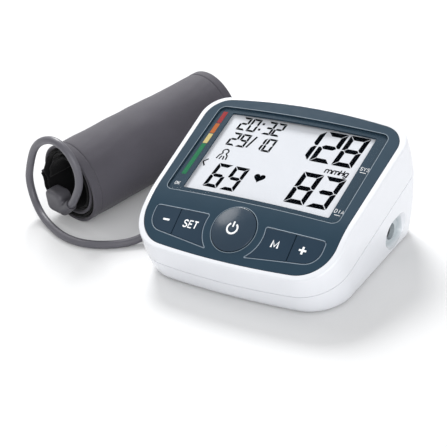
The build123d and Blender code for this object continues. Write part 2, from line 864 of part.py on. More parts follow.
with BuildPart() as battery_contacts:
    half_cell = (cell_length + cell_button_length) / 2 + contact_gap
    for place in range(4):
        x = (place - 1.5) * cell_pitch
        for end, limit in ((-1, bay_front), (1, bay_rear)):
            face = cell_middle + end * half_cell
            add(block(floor, x, limit - end * contact_thickness / 2, contact_width, contact_thickness,
                      cell_height - contact_height / 2, cell_height + contact_height / 2))
            with BuildSketch(Plane(origin=(x, limit, cell_height), x_dir=(-end, 0, 0), z_dir=(0, -end, 0))):
                Circle(contact_bump_radius)
            extrude(amount=abs(limit - face))
    for x, limit, end in ((-cell_pitch, bay_front, -1), (cell_pitch, bay_front, -1), (0, bay_rear, 1)):
        add(block(floor, x, limit - end * contact_thickness / 2, cell_pitch, contact_thickness,
                  cell_height, cell_height + contact_height / 2))
save(battery_contacts.part, "battery_contacts")

# Pump, valve and inner hose.
with BuildPart() as air_pump_head:
    add(shaft(head_left, pump_y, pump_height, head_radius, head_length))
    fillet(air_pump_head.edges().filter_by(GeomType.CIRCLE).sort_by(Axis.X)[0], tab_neck)
    add(shaft(head_left - nozzle_length, pump_y, pump_height, nozzle_radius, nozzle_length))
    add(shaft(head_left - nozzle_length, pump_y, pump_height, nozzle_bore, 2 * nozzle_length),
        mode=Mode.SUBTRACT)
save(air_pump_head.part, "air_pump_head")

with BuildPart() as air_pump_motor:
    add(shaft(head_right, pump_y, pump_height, motor_radius, motor_length))
    add(shaft(head_right + motor_length, pump_y, pump_height, motor_cap_radius, motor_cap_length))
save(air_pump_motor.part, "air_pump_motor")

with BuildPart() as release_valve:
    add(block(floor, valve_left + valve_width / 2, valve_y, valve_width, valve_depth, bay_top,
              bay_top + valve_height))
    fillet(release_valve.edges().filter_by(Axis.Z), tab_neck)
    add(pegs(floor, [(valve_left + valve_width / 2, valve_y)], nozzle_radius, bay_top + valve_height,
             bay_top + valve_height + nozzle_length))
save(release_valve.part, "release_valve")

with BuildPart() as inner_hose:
    with BuildLine() as hose_path:
        FilletPolyline((socket_inner, socket_y, socket_height), (hose_x, socket_y, socket_height),
                       (hose_x, pump_y, pump_height), (head_left, pump_y, pump_height), radius=hose_bend)
    with BuildSketch(Plane(origin=(socket_inner, socket_y, socket_height), x_dir=(0, 1, 0),
                           z_dir=(1, 0, 0))):
        Circle(hose_radius)
        Circle(hose_bore, mode=Mode.SUBTRACT)
    sweep(path=hose_path.line)
save(inner_hose.part, "inner_hose")

# Cuff socket and power inlet.
with BuildPart() as cuff_socket:
    add(shaft(socket_seat_x - socket_flange, socket_y, socket_height, socket_flange_radius, socket_flange))
    add(shaft(socket_seat_x, socket_y, socket_height, socket_body_radius, socket_inner - socket_seat_x))
    add(shaft(socket_inner, socket_y, socket_height, nozzle_radius, socket_barb_length))
    add(shaft(socket_seat_x - socket_flange, socket_y, socket_height, nipple_radius + nipple_play,
              socket_inner - socket_seat_x), mode=Mode.SUBTRACT)
    add(shaft(socket_seat_x, socket_y, socket_height, nozzle_bore, reach / 4), mode=Mode.SUBTRACT)
save(cuff_socket.part, "cuff_socket")

with BuildPart() as power_jack:
    add(block(floor, inlet_pad_inner - jack_depth / 2, inlet_y, jack_depth, jack_width,
              inlet_height - jack_width / 2, inlet_height + jack_width / 2))
    add(shaft(inlet_pad_inner - jack_depth + wall, inlet_y, inlet_height, jack_bore, jack_depth),
        mode=Mode.SUBTRACT)
    add(shaft(inlet_pad_inner - jack_depth, inlet_y, inlet_height, jack_pin, jack_depth - jack_pin_sink))
save(power_jack.part, "power_jack")

# Air plug: nipple, elbow body and boot.
plug_face = socket_seat_x - socket_flange - plug_gap
tube_start = Vector(*tube_route[0])
plug_left = tube_start.X - plug_tail
with BuildPart() as air_plug:
    add(shaft(plug_left, socket_y, socket_height, plug_radius, plug_face - plug_left))
    fillet(air_plug.edges().filter_by(GeomType.CIRCLE), tube_bore)
    with BuildSketch(Plane(origin=(tube_start.X, tube_start.Y - boot_overlap, tube_start.Z),
                           x_dir=(-1, 0, 0), z_dir=(0, 1, 0))):
        Circle(boot_radius)
    extrude(amount=socket_y - tube_start.Y + boot_overlap)
    add(shaft(plug_face, socket_y, socket_height, nipple_radius, nipple_length))
    with BuildSketch(Plane(origin=(tube_start.X, tube_start.Y - boot_overlap, tube_start.Z),
                           x_dir=(-1, 0, 0), z_dir=(0, 1, 0))):
        Circle(tube_radius + boot_play)
    extrude(amount=boot_overlap, mode=Mode.SUBTRACT)
    add(shaft(tube_start.X, socket_y, socket_height, tube_bore, reach / 4), mode=Mode.SUBTRACT)
    with BuildSketch(Plane(origin=(tube_start.X, socket_y, tube_start.Z), x_dir=(1, 0, 0), z_dir=(0, -1, 0))):
        Circle(tube_bore)
    extrude(amount=socket_y - tube_start.Y + boot_overlap, mode=Mode.SUBTRACT)
save(air_plug.part, "air_plug")

# Air tube: straight runs joined by tangent arcs.
runs = [Vector(*after) - Vector(*before) for before, after in zip(tube_route, tube_route[1:])]
turns = [radians(before.get_angle(after)) for before, after in zip(runs, runs[1:])]
bends = [bend_share * min(before.length, after.length) / tan(turn / 2)
         for before, after, turn in zip(runs, runs[1:], turns)]
print("tube bends", [round(bend, 1) for bend in bends], "length", round(sum(run.length for run in runs)))
with BuildPart() as air_tube:
    with BuildLine() as tube_path:
        FilletPolyline(*tube_route, radius=bends)
    with BuildSketch(Plane(origin=tube_path.line @ 0, z_dir=tube_path.line % 0)):
        Circle(tube_radius)
        Circle(tube_bore, mode=Mode.SUBTRACT)
    sweep(path=tube_path.line)
save(air_tube.part, "air_tube")

# Rolled cuff.
cuff_along = Vector(cos(radians(cuff_angle)), sin(radians(cuff_angle)), 0)
cuff_across = Vector(sin(radians(cuff_angle)), -cos(radians(cuff_angle)), 0)
cuff_end = Plane(origin=(cuff_x, cuff_y, roll_radius - foot_proud), x_dir=cuff_across, z_dir=-cuff_along)
roll_step = roll_pitch / 2


def rolled(outer, inner, inset):
    with BuildPart() as body:
        with BuildSketch(cuff_end.offset(-inset)):
            with BuildLine():
                for turn in range(half_turns):
                    centre = (turn % 2 * roll_step, 0)
                    start = 180 * (1 - turn % 2)
                    CenterArc(centre, roll_radius - turn * roll_step - outer, start, 180)
                    CenterArc(centre, roll_radius - turn * roll_step - inner, start, 180)
                Line((outer - roll_radius, 0), (inner - roll_radius, 0))
                last = half_turns - 1
                tip = (last % 2) * roll_step - (roll_radius - last * roll_step)
                Line((tip + outer, 0), (tip + inner, 0))
            make_face()
        extrude(amount=2 * inset - cuff_length)
    return body.part


bladder_outer = cover_thickness + layer_gap
lining_outer = bladder_outer + bladder_thickness + layer_gap
with BuildPart() as cuff_cover:
    add(rolled(0, cover_thickness, 0))
save(cuff_cover.part, "cuff_cover")

with BuildPart() as cuff_bladder:
    add(rolled(bladder_outer, bladder_outer + bladder_thickness, bladder_inset))
save(cuff_bladder.part, "cuff_bladder")

with BuildPart() as cuff_lining:
    add(rolled(lining_outer, lining_outer + lining_thickness, 0))
save(cuff_lining.part, "cuff_lining")

with BuildPart() as hook_patch:
    with BuildSketch(cuff_end.offset(-patch_inset)):
        with BuildLine():
            near_arc = CenterArc((0, 0), roll_radius, patch_start, patch_sweep)
            far_arc = CenterArc((0, 0), roll_radius + patch_thickness, patch_start, patch_sweep)
            Line(near_arc @ 0, far_arc @ 0)
            Line(near_arc @ 1, far_arc @ 1)
        make_face()
    extrude(amount=2 * patch_inset - cuff_length)
save(hook_patch.part, "hook_patch")

# Port: a moulded lobe on the end of the cuff, with a boot for the tube.
tube_end = Vector(*tube_route[-1])
tube_way = runs[-1].normalized()
port_mouth = Plane(origin=tube_end - tube_way * boot_overlap, z_dir=tube_way)
with BuildPart() as cuff_port:
    with BuildSketch(cuff_end.offset(layer_gap)):
        with Locations((port_x, port_y)):
            RectangleRounded(port_width, port_height, port_corner)
    extrude(amount=port_depth - layer_gap)
    fillet(cuff_port.faces().sort_by(Axis(cuff_end.origin, cuff_end.z_dir))[-1].edges(), port_edge_radius)
    with BuildSketch(port_mouth):
        Circle(port_boot_radius)
    extrude(amount=port_boot_length)
    with BuildSketch(port_mouth):
        Circle(tube_radius + boot_play)
    extrude(amount=boot_overlap, mode=Mode.SUBTRACT)
    with BuildSketch(port_mouth):
        Circle(tube_bore)
    extrude(amount=port_boot_length - 2 * tube_bore, mode=Mode.SUBTRACT)
save(cuff_port.part, "cuff_port")
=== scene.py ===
from math import asin, cos, hypot, pi, radians, sin, sqrt

import bmesh
import bpy
from mathutils import Matrix, Vector, noise


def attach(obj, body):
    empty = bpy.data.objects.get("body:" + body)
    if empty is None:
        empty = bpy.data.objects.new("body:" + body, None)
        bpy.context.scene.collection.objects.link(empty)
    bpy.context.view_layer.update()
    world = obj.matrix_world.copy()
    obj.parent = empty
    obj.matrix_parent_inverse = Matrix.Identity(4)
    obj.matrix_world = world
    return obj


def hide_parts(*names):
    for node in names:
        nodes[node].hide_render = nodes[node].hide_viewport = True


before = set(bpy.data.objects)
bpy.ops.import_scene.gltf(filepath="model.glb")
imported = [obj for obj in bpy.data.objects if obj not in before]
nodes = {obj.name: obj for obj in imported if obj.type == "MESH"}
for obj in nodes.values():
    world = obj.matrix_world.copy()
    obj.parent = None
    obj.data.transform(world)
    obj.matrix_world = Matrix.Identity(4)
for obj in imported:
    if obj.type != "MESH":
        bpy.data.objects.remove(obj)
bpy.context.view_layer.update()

mm = 0.001
scene = bpy.context.scene
scene.view_settings.view_transform = "Standard"


def linear(hexColour):
    # Display colour to the values that a shader socket takes.
    parts = [int(hexColour[i:i + 2], 16) / 255 for i in (1, 3, 5)]
    return [p / 12.92 if p <= 0.04045 else ((p + 0.055) / 1.055) ** 2.4 for p in parts] + [1.0]


# Camera.
cameraSetup = {
    "place": (0.37817, -0.53330, 0.41215),
    "turn": 37.765,  # round the vertical
    "drop": 30.872,  # below the horizon
    "roll": -8.869,
    "lens": 113.71,
    "sensor": 36.0,
}


def makeCamera(setup):
    data = bpy.data.cameras.new("camera")
    data.lens = setup["lens"]
    data.sensor_width = setup["sensor"]
    camera = bpy.data.objects.new("camera", data)
    scene.collection.objects.link(camera)
    turn = Matrix.Rotation(radians(setup["turn"]), 4, "Z")
    tip = Matrix.Rotation(radians(90 - setup["drop"]), 4, "X")
    roll = Matrix.Rotation(radians(setup["roll"]), 4, "Z")
    camera.matrix_world = Matrix.Translation(setup["place"]) @ turn @ tip @ roll
    scene.camera = camera
    print("camera placed")


makeCamera(cameraSetup)

# Materials. Every finish is a Principled shader; its colour, roughness and relief come from noise
# in the object's own space.


class Finish:
    def __init__(self, name):
        self.material = bpy.data.materials.new(name)
        self.material.use_nodes = True
        self.tree = self.material.node_tree
        self.shader = self.tree.nodes["Principled BSDF"]
        self.place = self.tree.nodes.new("ShaderNodeTexCoord").outputs["Object"]

    def node(self, kind, **values):
        made = self.tree.nodes.new(kind)
        for key, value in values.items():
            setattr(made, key, value)
        return made

    def link(self, start, end):
        self.tree.links.new(start, end)

    def noise(self, scale, detail=3.0, rough=0.55, place=None):
        cloud = self.node("ShaderNodeTexNoise")
        cloud.inputs["Scale"].default_value = scale
        cloud.inputs["Detail"].default_value = detail
        cloud.inputs["Roughness"].default_value = rough
        self.link(place or self.place, cloud.inputs["Vector"])
        return cloud.outputs["Fac"]

    def spread(self, source, low, high, near=0.3, far=0.7):
        span = self.node("ShaderNodeMapRange")
        for key, value in (("From Min", near), ("From Max", far), ("To Min", low), ("To Max", high)):
            span.inputs[key].default_value = value
        self.link(source, span.inputs["Value"])
        return span.outputs["Result"]

    def combine(self, way, first, second):
        # Math node; first is a socket, second a socket or a number.
        made = self.node("ShaderNodeMath", operation=way)
        self.link(first, made.inputs[0])
        if isinstance(second, (int, float)):
            made.inputs[1].default_value = second
        else:
            self.link(second, made.inputs[1])
        return made.outputs[0]

    def split(self, vector):
        parts = self.node("ShaderNodeSeparateXYZ")
        self.link(vector, parts.inputs["Vector"])
        return parts.outputs

    def blend(self, share, first, second):
        mix = self.node("ShaderNodeMix", data_type="RGBA")
        self.link(share, mix.inputs["Factor"])
        for socket, colour in ((mix.inputs[6], first), (mix.inputs[7], second)):
            if isinstance(colour, list):
                socket.default_value = colour
            else:
                self.link(colour, socket)
        return mix.outputs[2]

    def relief(self, height, strength, depth, under=None):
        bump = self.node("ShaderNodeBump")
        bump.inputs["Strength"].default_value = strength
        bump.inputs["Distance"].default_value = depth
        self.link(height, bump.inputs["Height"])
        if under:
            self.link(under, bump.inputs["Normal"])
        return bump.outputs["Normal"]

    def constants(self, **values):
        names = {"rough": "Roughness", "metal": "Metallic", "ior": "IOR", "coat": "Coat Weight",
                 "coatRough": "Coat Roughness", "sheen": "Sheen Weight", "sheenRough": "Sheen Roughness",
                 "specular": "Specular IOR Level", "glow": "Emission Strength", "cover": "Alpha"}
        for key, value in values.items():
            self.shader.inputs[names[key]].default_value = value


def shade(colour, factor):
    return [min(1.0, c * factor) for c in colour[:3]] + [1.0]


def paintedScoopShade(finish, plain, scoop):
    # Painted shade: a duller, greyer tone on the floor of the round scoop for the power inlet, up to its
    # brim, where the recess lies in shade.
    place = finish.split(finish.place)
    middle = finish.node("ShaderNodeCombineXYZ")
    finish.link(place["X"], middle.inputs["X"])
    middle.inputs["Y"].default_value, middle.inputs["Z"].default_value = scoop["middle"]
    apart = finish.node("ShaderNodeVectorMath", operation="DISTANCE")
    finish.link(finish.place, apart.inputs[0])
    finish.link(middle.outputs["Vector"], apart.inputs[1])
    inside = finish.spread(apart.outputs["Value"], 1, 0, scoop["radius"] - scoop["blur"],
                           scoop["radius"] + scoop["blur"])
    deep = finish.spread(place["X"], 1, 0, scoop["seat"], scoop["brim"])
    rightSide = finish.combine("GREATER_THAN", place["X"], scoop["seat"] / 2)
    share = finish.combine("MULTIPLY", finish.combine("MULTIPLY", inside, rightSide), deep)
    return finish.blend(share, plain, linear(scoop["colour"]))


def moulded(name, colour, rough, grain=2600, depth=0.00002, strength=0.25, mottle=0.04, scoop=None,
            **rest):
    # Moulded or painted plastic: fine grain, slow waviness and small changes of gloss.
    finish = Finish(name)
    base = linear(colour)
    tone = finish.blend(finish.spread(finish.noise(38), 0, 1), shade(base, 1 - mottle),
                        shade(base, 1 + mottle))
    # Where a scoop is given, its floor gets painted shade.
    if scoop:
        tone = paintedScoopShade(finish, tone, scoop)
    finish.link(tone, finish.shader.inputs["Base Color"])
    finish.link(finish.spread(finish.noise(160), rough * 0.85, rough * 1.15),
                finish.shader.inputs["Roughness"])
    wave = finish.relief(finish.noise(22, 1.0), 0.06, 0.0006)
    finish.link(finish.relief(finish.noise(grain, 2.0), strength, depth, wave),
                finish.shader.inputs["Normal"])
    finish.constants(**rest)
    return finish.material


def metal(name, colour, rough, stretch=(1, 1, 1)):
    finish = Finish(name)
    base = linear(colour)
    scaled = finish.node("ShaderNodeMapping")
    scaled.inputs["Scale"].default_value = stretch
    finish.link(finish.place, scaled.inputs["Vector"])
    lines = finish.noise(900, 4.0, 0.6, scaled.outputs["Vector"])
    finish.link(finish.blend(finish.spread(lines, 0, 1), shade(base, 0.88), shade(base, 1.05)),
                finish.shader.inputs["Base Color"])
    finish.link(finish.spread(lines, rough * 0.7, rough * 1.4), finish.shader.inputs["Roughness"])
    finish.link(finish.relief(lines, 0.2, 0.00002), finish.shader.inputs["Normal"])
    finish.constants(metal=1.0)
    return finish.material


def clearSheet(name, colour, cover, rough):
    # Clear moulding: a faint glossy cover over what lies behind it.
    finish = Finish(name)
    base = linear(colour)
    finish.link(finish.blend(finish.spread(finish.noise(30), 0, 1), shade(base, 0.9), shade(base, 1.1)),
                finish.shader.inputs["Base Color"])
    finish.link(finish.spread(finish.noise(90), rough * 0.8, rough * 1.2),
                finish.shader.inputs["Roughness"])
    finish.link(finish.relief(finish.noise(14, 1.0), 0.05, 0.0005), finish.shader.inputs["Normal"])
    finish.constants(cover=cover, ior=1.5, specular=0.15)
    return finish.material


def paintedGlowDisplay(name, colour, glow):
    # Pale reflective cell: faint mottling, and a painted glow that makes it shine a little though it is no
    # lamp.
    finish = Finish(name)
    base = linear(colour)
    tone = finish.blend(finish.spread(finish.noise(24, 2.0), 0, 1), shade(base, 0.975), shade(base, 1.0))
    finish.link(tone, finish.shader.inputs["Base Color"])
    # Painted glow: the cell's own tone is also sent out as light.
    finish.link(tone, finish.shader.inputs["Emission Color"])
    finish.link(finish.spread(finish.noise(300), 0.42, 0.55), finish.shader.inputs["Roughness"])
    finish.link(finish.relief(finish.noise(5200, 1.0), 0.12, 0.00001), finish.shader.inputs["Normal"])
    finish.constants(glow=glow, specular=0.2)
    return finish.material


def printed(name, colour, rough=0.45, mottle=0.03, specular=0.08):
    # Screen-printed ink, slightly uneven.
    finish = Finish(name)
    base = linear(colour)
    finish.link(finish.blend(finish.spread(finish.noise(700), 0, 1), shade(base, 1 - mottle),
                             shade(base, 1 + mottle)), finish.shader.inputs["Base Color"])
    finish.link(finish.spread(finish.noise(1500), rough * 0.9, rough * 1.1),
                finish.shader.inputs["Roughness"])
    finish.link(finish.relief(finish.noise(6000, 1.0), 0.15, 0.00001), finish.shader.inputs["Normal"])
    finish.constants(specular=specular)
    return finish.material


wavePeriod = 0.314  # of a wave texture at scale 1


def woven(name, colour, pitch, depth, fuzz, sheen, rough, mottle=0.10, innerShade=None):
    # Cloth woven from threads that follow the strip's own length and width; the last argument gives its
    # inner end painted shade.
    finish = Finish(name)
    base = linear(colour)
    cloth = finish.node("ShaderNodeAttribute", attribute_name="cloth").outputs["Vector"]
    threads = []
    for way in ("X", "Y"):
        wave = finish.node("ShaderNodeTexWave", bands_direction=way)
        wave.inputs["Scale"].default_value = wavePeriod / pitch
        wave.inputs["Distortion"].default_value = 0.6
        wave.inputs["Detail"].default_value = 2.0
        wave.inputs["Detail Scale"].default_value = 1.5
        finish.link(cloth, wave.inputs["Vector"])
        threads.append(wave.outputs["Fac"])
    cross = finish.combine("MULTIPLY", threads[0], threads[1])
    hair = finish.noise(fuzz, 4.0, 0.7)
    pile = finish.combine("ADD", cross, hair)
    worn = finish.blend(finish.spread(finish.noise(30, 4.0), 0, 1), shade(base, 1 - mottle),
                        shade(base, 1 + mottle))
    tone = finish.blend(finish.spread(cross, 0, 0.5, 0, 1), worn, shade(base, 1.25))
    # Painted shade: from the given length on, the strip turns near black, deep inside the roll.
    if innerShade:
        share = finish.spread(finish.split(cloth)["X"], 0, 1, innerShade["from"], innerShade["from"] + innerShade["fade"])
        tone = finish.blend(share, tone, linear(innerShade["colour"]))
    finish.link(tone, finish.shader.inputs["Base Color"])
    finish.link(finish.spread(hair, rough * 0.9, rough * 1.1), finish.shader.inputs["Roughness"])
    soft = finish.relief(finish.noise(120, 3.0), 0.25, 0.0004)
    finish.link(finish.relief(pile, 0.5, depth, soft), finish.shader.inputs["Normal"])
    finish.constants(sheen=sheen, sheenRough=0.4, specular=0.25)
    return finish.material


def circuitBoard(name):
    # Green solder mask with a faint grid of tracks.
    finish = Finish(name)
    tracks = finish.node("ShaderNodeTexBrick", offset=0.5)
    tracks.inputs["Scale"].default_value = 260
    tracks.inputs["Mortar Size"].default_value = 0.03
    for key, colour in (("Color1", "#1E5B34"), ("Color2", "#1A5230"), ("Mortar", "#3C8350")):
        tracks.inputs[key].default_value = linear(colour)
    finish.link(finish.place, tracks.inputs["Vector"])
    finish.link(tracks.outputs["Color"], finish.shader.inputs["Base Color"])
    finish.link(finish.spread(finish.noise(400), 0.3, 0.45), finish.shader.inputs["Roughness"])
    finish.link(finish.relief(tracks.outputs["Fac"], 0.3, 0.00003), finish.shader.inputs["Normal"])
    return finish.material


def wrappedCell(name, colour, band):
    # Dark sleeve with a copper-coloured band towards one end.
    finish = Finish(name)
    share = finish.spread(finish.split(finish.place)["Y"], 0, 1, band["from"], band["from"] + band["blur"])
    finish.link(finish.blend(share, linear(colour), linear(band["colour"])),
                finish.shader.inputs["Base Color"])
    finish.link(finish.spread(finish.noise(500), 0.25, 0.4), finish.shader.inputs["Roughness"])
    finish.link(finish.relief(finish.noise(1500), 0.1, 0.00002), finish.shader.inputs["Normal"])
    finish.constants(metal=0.5)
    return finish.material


finishes = {
    "whiteShell": moulded("whiteShell", "#E1E3E8", 0.16, grain=1800, strength=0.08, mottle=0.012,
                          # Painted shade in the scoop for the power inlet, greyest deep in it and fading
                          # towards its brim.
                          scoop={"middle": (0.0210, 0.0125), "radius": 0.0098, "blur": 0.0002,
                                 "seat": 0.0588, "brim": 0.0622, "colour": "#AEB7BC"},
                          coat=0.35, coatRough=0.08),
    "bluePanel": moulded("bluePanel", "#2B3E4C", 0.45, mottle=0.05, specular=0.055),
    "keyPlastic": moulded("keyPlastic", "#263746", 0.42, mottle=0.05, specular=0.09),
    "domePlastic": moulded("domePlastic", "#213444", 0.24, grain=1500, strength=0.06, mottle=0.03,
                           coat=0.25, coatRough=0.14, specular=0.35),
    "window": clearSheet("window", "#1E262E", 0.07, 0.05),
    # The display cell has a painted glow of 0.11, though it is no lamp.
    "display": paintedGlowDisplay("display", "#D9DCE2", 0.11),
    "diffuser": moulded("diffuser", "#E9EBEF", 0.5),
    "blackPlastic": moulded("blackPlastic", "#26272B", 0.32),
    "board": circuitBoard("board"),
    "matRubber": moulded("matRubber", "#BFC2C7", 0.6),
    "footRubber": moulded("footRubber", "#2C2D31", 0.7, grain=1400, strength=0.5),
    "steel": metal("steel", "#B9BCC1", 0.28),
    "motorCan": metal("motorCan", "#AEB2B8", 0.24, (0.05, 1, 1)),
    "cell": wrappedCell("cell", "#4A4F57", {"from": 0.018, "blur": 0.0004, "colour": "#B88452"}),
    "tubeVinyl": moulded("tubeVinyl", "#5A5960", 0.42, grain=900, strength=0.12, mottle=0.05),
    "portRubber": moulded("portRubber", "#4B4A50", 0.5, grain=1100, strength=0.3, mottle=0.06),
    # The cover's inner end is painted near black: painted shade deep inside the roll.
    "cuffFabric": woven("cuffFabric", "#4C4A51", 0.00045, 0.00007, 2600, 0.14, 0.72,
                        innerShade={"from": 0.238, "fade": 0.004, "colour": "#0E0E10"}),
    "cuffLoop": woven("cuffLoop", "#0C0C0E", 0.0008, 0.0003, 1900, 0.05, 0.9),
    "bladder": moulded("bladder", "#1E1E20", 0.55),
    "whiteInk": printed("whiteInk", "#F2F4F6"),
    # Painted highlights: paler inks for the light caught on the edges of the window, key groups and dome.
    "paintedHighlightLine": printed("paintedHighlightLine", "#76848F", specular=0.4),
    "keyLine": printed("keyLine", "#7D8B98", specular=0.4),
    "blackSegment": printed("blackSegment", "#010102", 0.8, specular=0.0),
    "redInk": printed("redInk", "#8E1A1E"),
    "orangeInk": printed("orangeInk", "#AC5A1A"),
    "yellowInk": printed("yellowInk", "#C2B275"),
    "greenInk": printed("greenInk", "#066A41"),
}
nodeFinish = {
    "whiteShell": ["lower_shell", "upper_shell", "battery_door"],
    "bluePanel": ["front_panel"],
    "keyPlastic": ["memory_key", "plus_key", "set_key", "minus_key"],
    "domePlastic": ["power_button"],
    "window": ["display_window"],
    "display": ["lcd_glass"],
    "diffuser": ["display_frame"],
    "board": ["main_board", "key_board"],
    "matRubber": ["key_mat", "inner_hose"],
    "footRubber": ["rubber_feet", "contact_strip"],
    "steel": ["board_screws", "housing_screws", "battery_contacts"],
    "motorCan": ["air_pump_motor"],
    "blackPlastic": ["main_chip", "buzzer", "pressure_sensor", "air_pump_head", "release_valve",
                     "cuff_socket", "power_jack", "air_plug"],
    "cell": ["batteries"],
    "portRubber": ["cuff_port"],
    "cuffLoop": ["hook_patch"],
    "bladder": ["cuff_bladder"],
}
for finishName, names in nodeFinish.items():
    for nodeName in names:
        for materialSlot in nodes[nodeName].material_slots:
            materialSlot.material = finishes[finishName]
print("finishes on", sum(len(names) for names in nodeFinish.values()), "nodes")


def keep(piece, finish, body="monitor"):
    # Gives a new piece its finish and its place on a body.
    scene.collection.objects.link(piece)
    piece.data.materials.clear()
    piece.data.materials.append(finishes[finish])
    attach(piece, body)


# Air tube: one free length from the plug on the casing, over the floor, up and round into the cuff's port.
tube = {
    "diameter": 0.0046,
    "length": 0.250,
    "exit": (-0.0700, 0.0030, 0.0095),
    "route": [
        (-70.0, 3.0, 9.5), (-70.0, -4.0, 9.5), (-71.2, -12.0, 7.6), (-74.5, -19.0, 4.0),
        (-81.0, -26.0, 1.3), (-92.5, -34.0, 1.3), (-107.5, -38.4, 1.3), (-124.0, -36.2, 1.3),
        (-135.7, -30.8, 1.5), (-147.0, -24.8, 1.3), (-155.6, -20.0, 5.1), (-160.5, -16.8, 13.1),
        (-160.9, -16.1, 22.7), (-157.1, -16.9, 30.9), (-152.4, -18.3, 39.3), (-146.8, -19.9, 47.4),
        (-138.4, -21.9, 54.3), (-125.1, -24.6, 59.1), (-113.6, -26.9, 53.6), (-108.7, -27.7, 41.6),
        (-112.8, -26.5, 29.6), (-117.8, -25.0, 23.7), (-121.5, -24.2, 17.7), (-126.5, -22.9, 13.8),
    ],
}


def makeTube(tube):
    curve = bpy.data.curves.new("air_tube_line", "CURVE")
    curve.dimensions = "3D"
    curve.resolution_u = 12
    curve.bevel_depth = tube["diameter"] / 2
    curve.bevel_resolution = 6
    curve.use_fill_caps = True
    line = curve.splines.new("NURBS")
    line.points.add(len(tube["route"]) - 1)
    for point, place in zip(line.points, tube["route"]):
        point.co = (*(Vector(place) * mm), 1.0)
    line.order_u = 4
    line.use_endpoint_u = True
    piece = bpy.data.objects.new("air_tube_line", curve)
    keep(piece, "tubeVinyl")
    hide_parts("air_tube")
    print("air tube laid,", tube["length"], "m")


makeTube(tube)

# Front surface: one line from the display down the bend to the keys, crowned from side to side.
front = {
    "origin": Vector((0, 5.75, 52.0)),
    "tilt": 17.5,
    "bendStart": 26.0,
    "bendRadius": 58.0,
    "bendAngle": 15.0,
    "crownRadius": 680.0,
    "keyLine": 5.48,  # the keys' centre line beyond the bend
}
tiltAngle = radians(front["tilt"])
displayUp = Vector((0, cos(tiltAngle), sin(tiltAngle)))
displayOut = Vector((0, -sin(tiltAngle), cos(tiltAngle)))
keyStart = front["bendStart"] + front["bendRadius"] * radians(front["bendAngle"]) + front["keyLine"]


def onFront(x, down, rise):
    # Point at x across, down along the surface from the display's origin, rise over the surface.
    bend, radius = radians(front["bendAngle"]), front["bendRadius"]
    turned = min(max((down - front["bendStart"]) / radius, 0), bend)
    flat = min(down, front["bendStart"])
    past = max(down - front["bendStart"] - radius * bend, 0)
    y = -flat - radius * sin(turned) - past * cos(bend)
    z = -radius * (1 - cos(turned)) - past * sin(bend)
    drop = front["crownRadius"] - sqrt(front["crownRadius"] ** 2 - x * x)
    height = rise - drop
    y -= height * sin(turned)
    z += height * cos(turned)
    return (front["origin"] + Vector((x, 0, 0)) + y * displayUp + z * displayOut) * mm


def onKeys(rise):
    return lambda x, up, height: onFront(x, keyStart - up, rise + height)


def onDisplay(rise):
    return lambda x, up, height: onFront(x, -up, rise + height)


def onGlass(level):
    # The liquid crystal cell is flat, so it doesn't follow the crown.
    return lambda x, up, height: (front["origin"] + Vector((x, 0, 0)) + up * displayUp
                                  + (level + height) * displayOut) * mm


def onDome(dome):
    middle = onFront(0, keyStart, 0)
    out = radians(front["tilt"] + front["bendAngle"])
    up, normal = Vector((0, cos(out), sin(out))), Vector((0, -sin(out), cos(out)))
    sag = dome["rise"] - dome["edge"]
    radius = (dome["radius"] ** 2 + sag ** 2) / (2 * sag)

    def place(x, y, height):
        z = dome["rise"] - radius + sqrt(radius ** 2 - x * x - y * y) + height
        return middle + (Vector((x, 0, 0)) + y * up + z * normal) * mm
    return place


def laid(name, mesh, place, finish, body="monitor"):
    # Moves a flat mesh, in millimetres, onto a surface.
    for vertex in mesh.vertices:
        vertex.co = place(*vertex.co)
    mesh.update()
    keep(bpy.data.objects.new(name, mesh), finish, body)


def plates(outlines, low, high):
    # Thin closed plates from outlines.
    shape = bmesh.new()
    for outline in outlines:
        bottom = [shape.verts.new((x, y, low)) for x, y in outline]
        top = [shape.verts.new((x, y, high)) for x, y in outline]
        shape.faces.new(top)
        shape.faces.new(bottom[::-1])
        for i in range(len(outline)):
            after = (i + 1) % len(outline)
            shape.faces.new((bottom[i], bottom[after], top[after], top[i]))
    bmesh.ops.recalc_face_normals(shape, faces=shape.faces)
    mesh = bpy.data.meshes.new("plates")
    shape.to_mesh(mesh)
    shape.free()
    return mesh


def strokes(lines, width, flat):
    # Round-ended pen strokes, flattened to a thin layer.
    curve = bpy.data.curves.new("strokes", "CURVE")
    curve.dimensions = "3D"
    curve.bevel_depth = width / 2
    curve.bevel_resolution = 3
    curve.use_fill_caps = True
    for points, closed in lines:
        line = curve.splines.new("POLY")
        line.points.add(len(points) - 1)
        for point, (x, y) in zip(line.points, points):
            point.co = (x, y, 0, 1)
        line.use_cyclic_u = closed
    holder = bpy.data.objects.new("strokes", curve)
    scene.collection.objects.link(holder)
    bpy.context.view_layer.update()
    mesh = bpy.data.meshes.new_from_object(holder.evaluated_get(bpy.context.evaluated_depsgraph_get()))
    bpy.data.objects.remove(holder)
    for vertex in mesh.vertices:
        vertex.co.z *= flat / width * 2
    return mesh


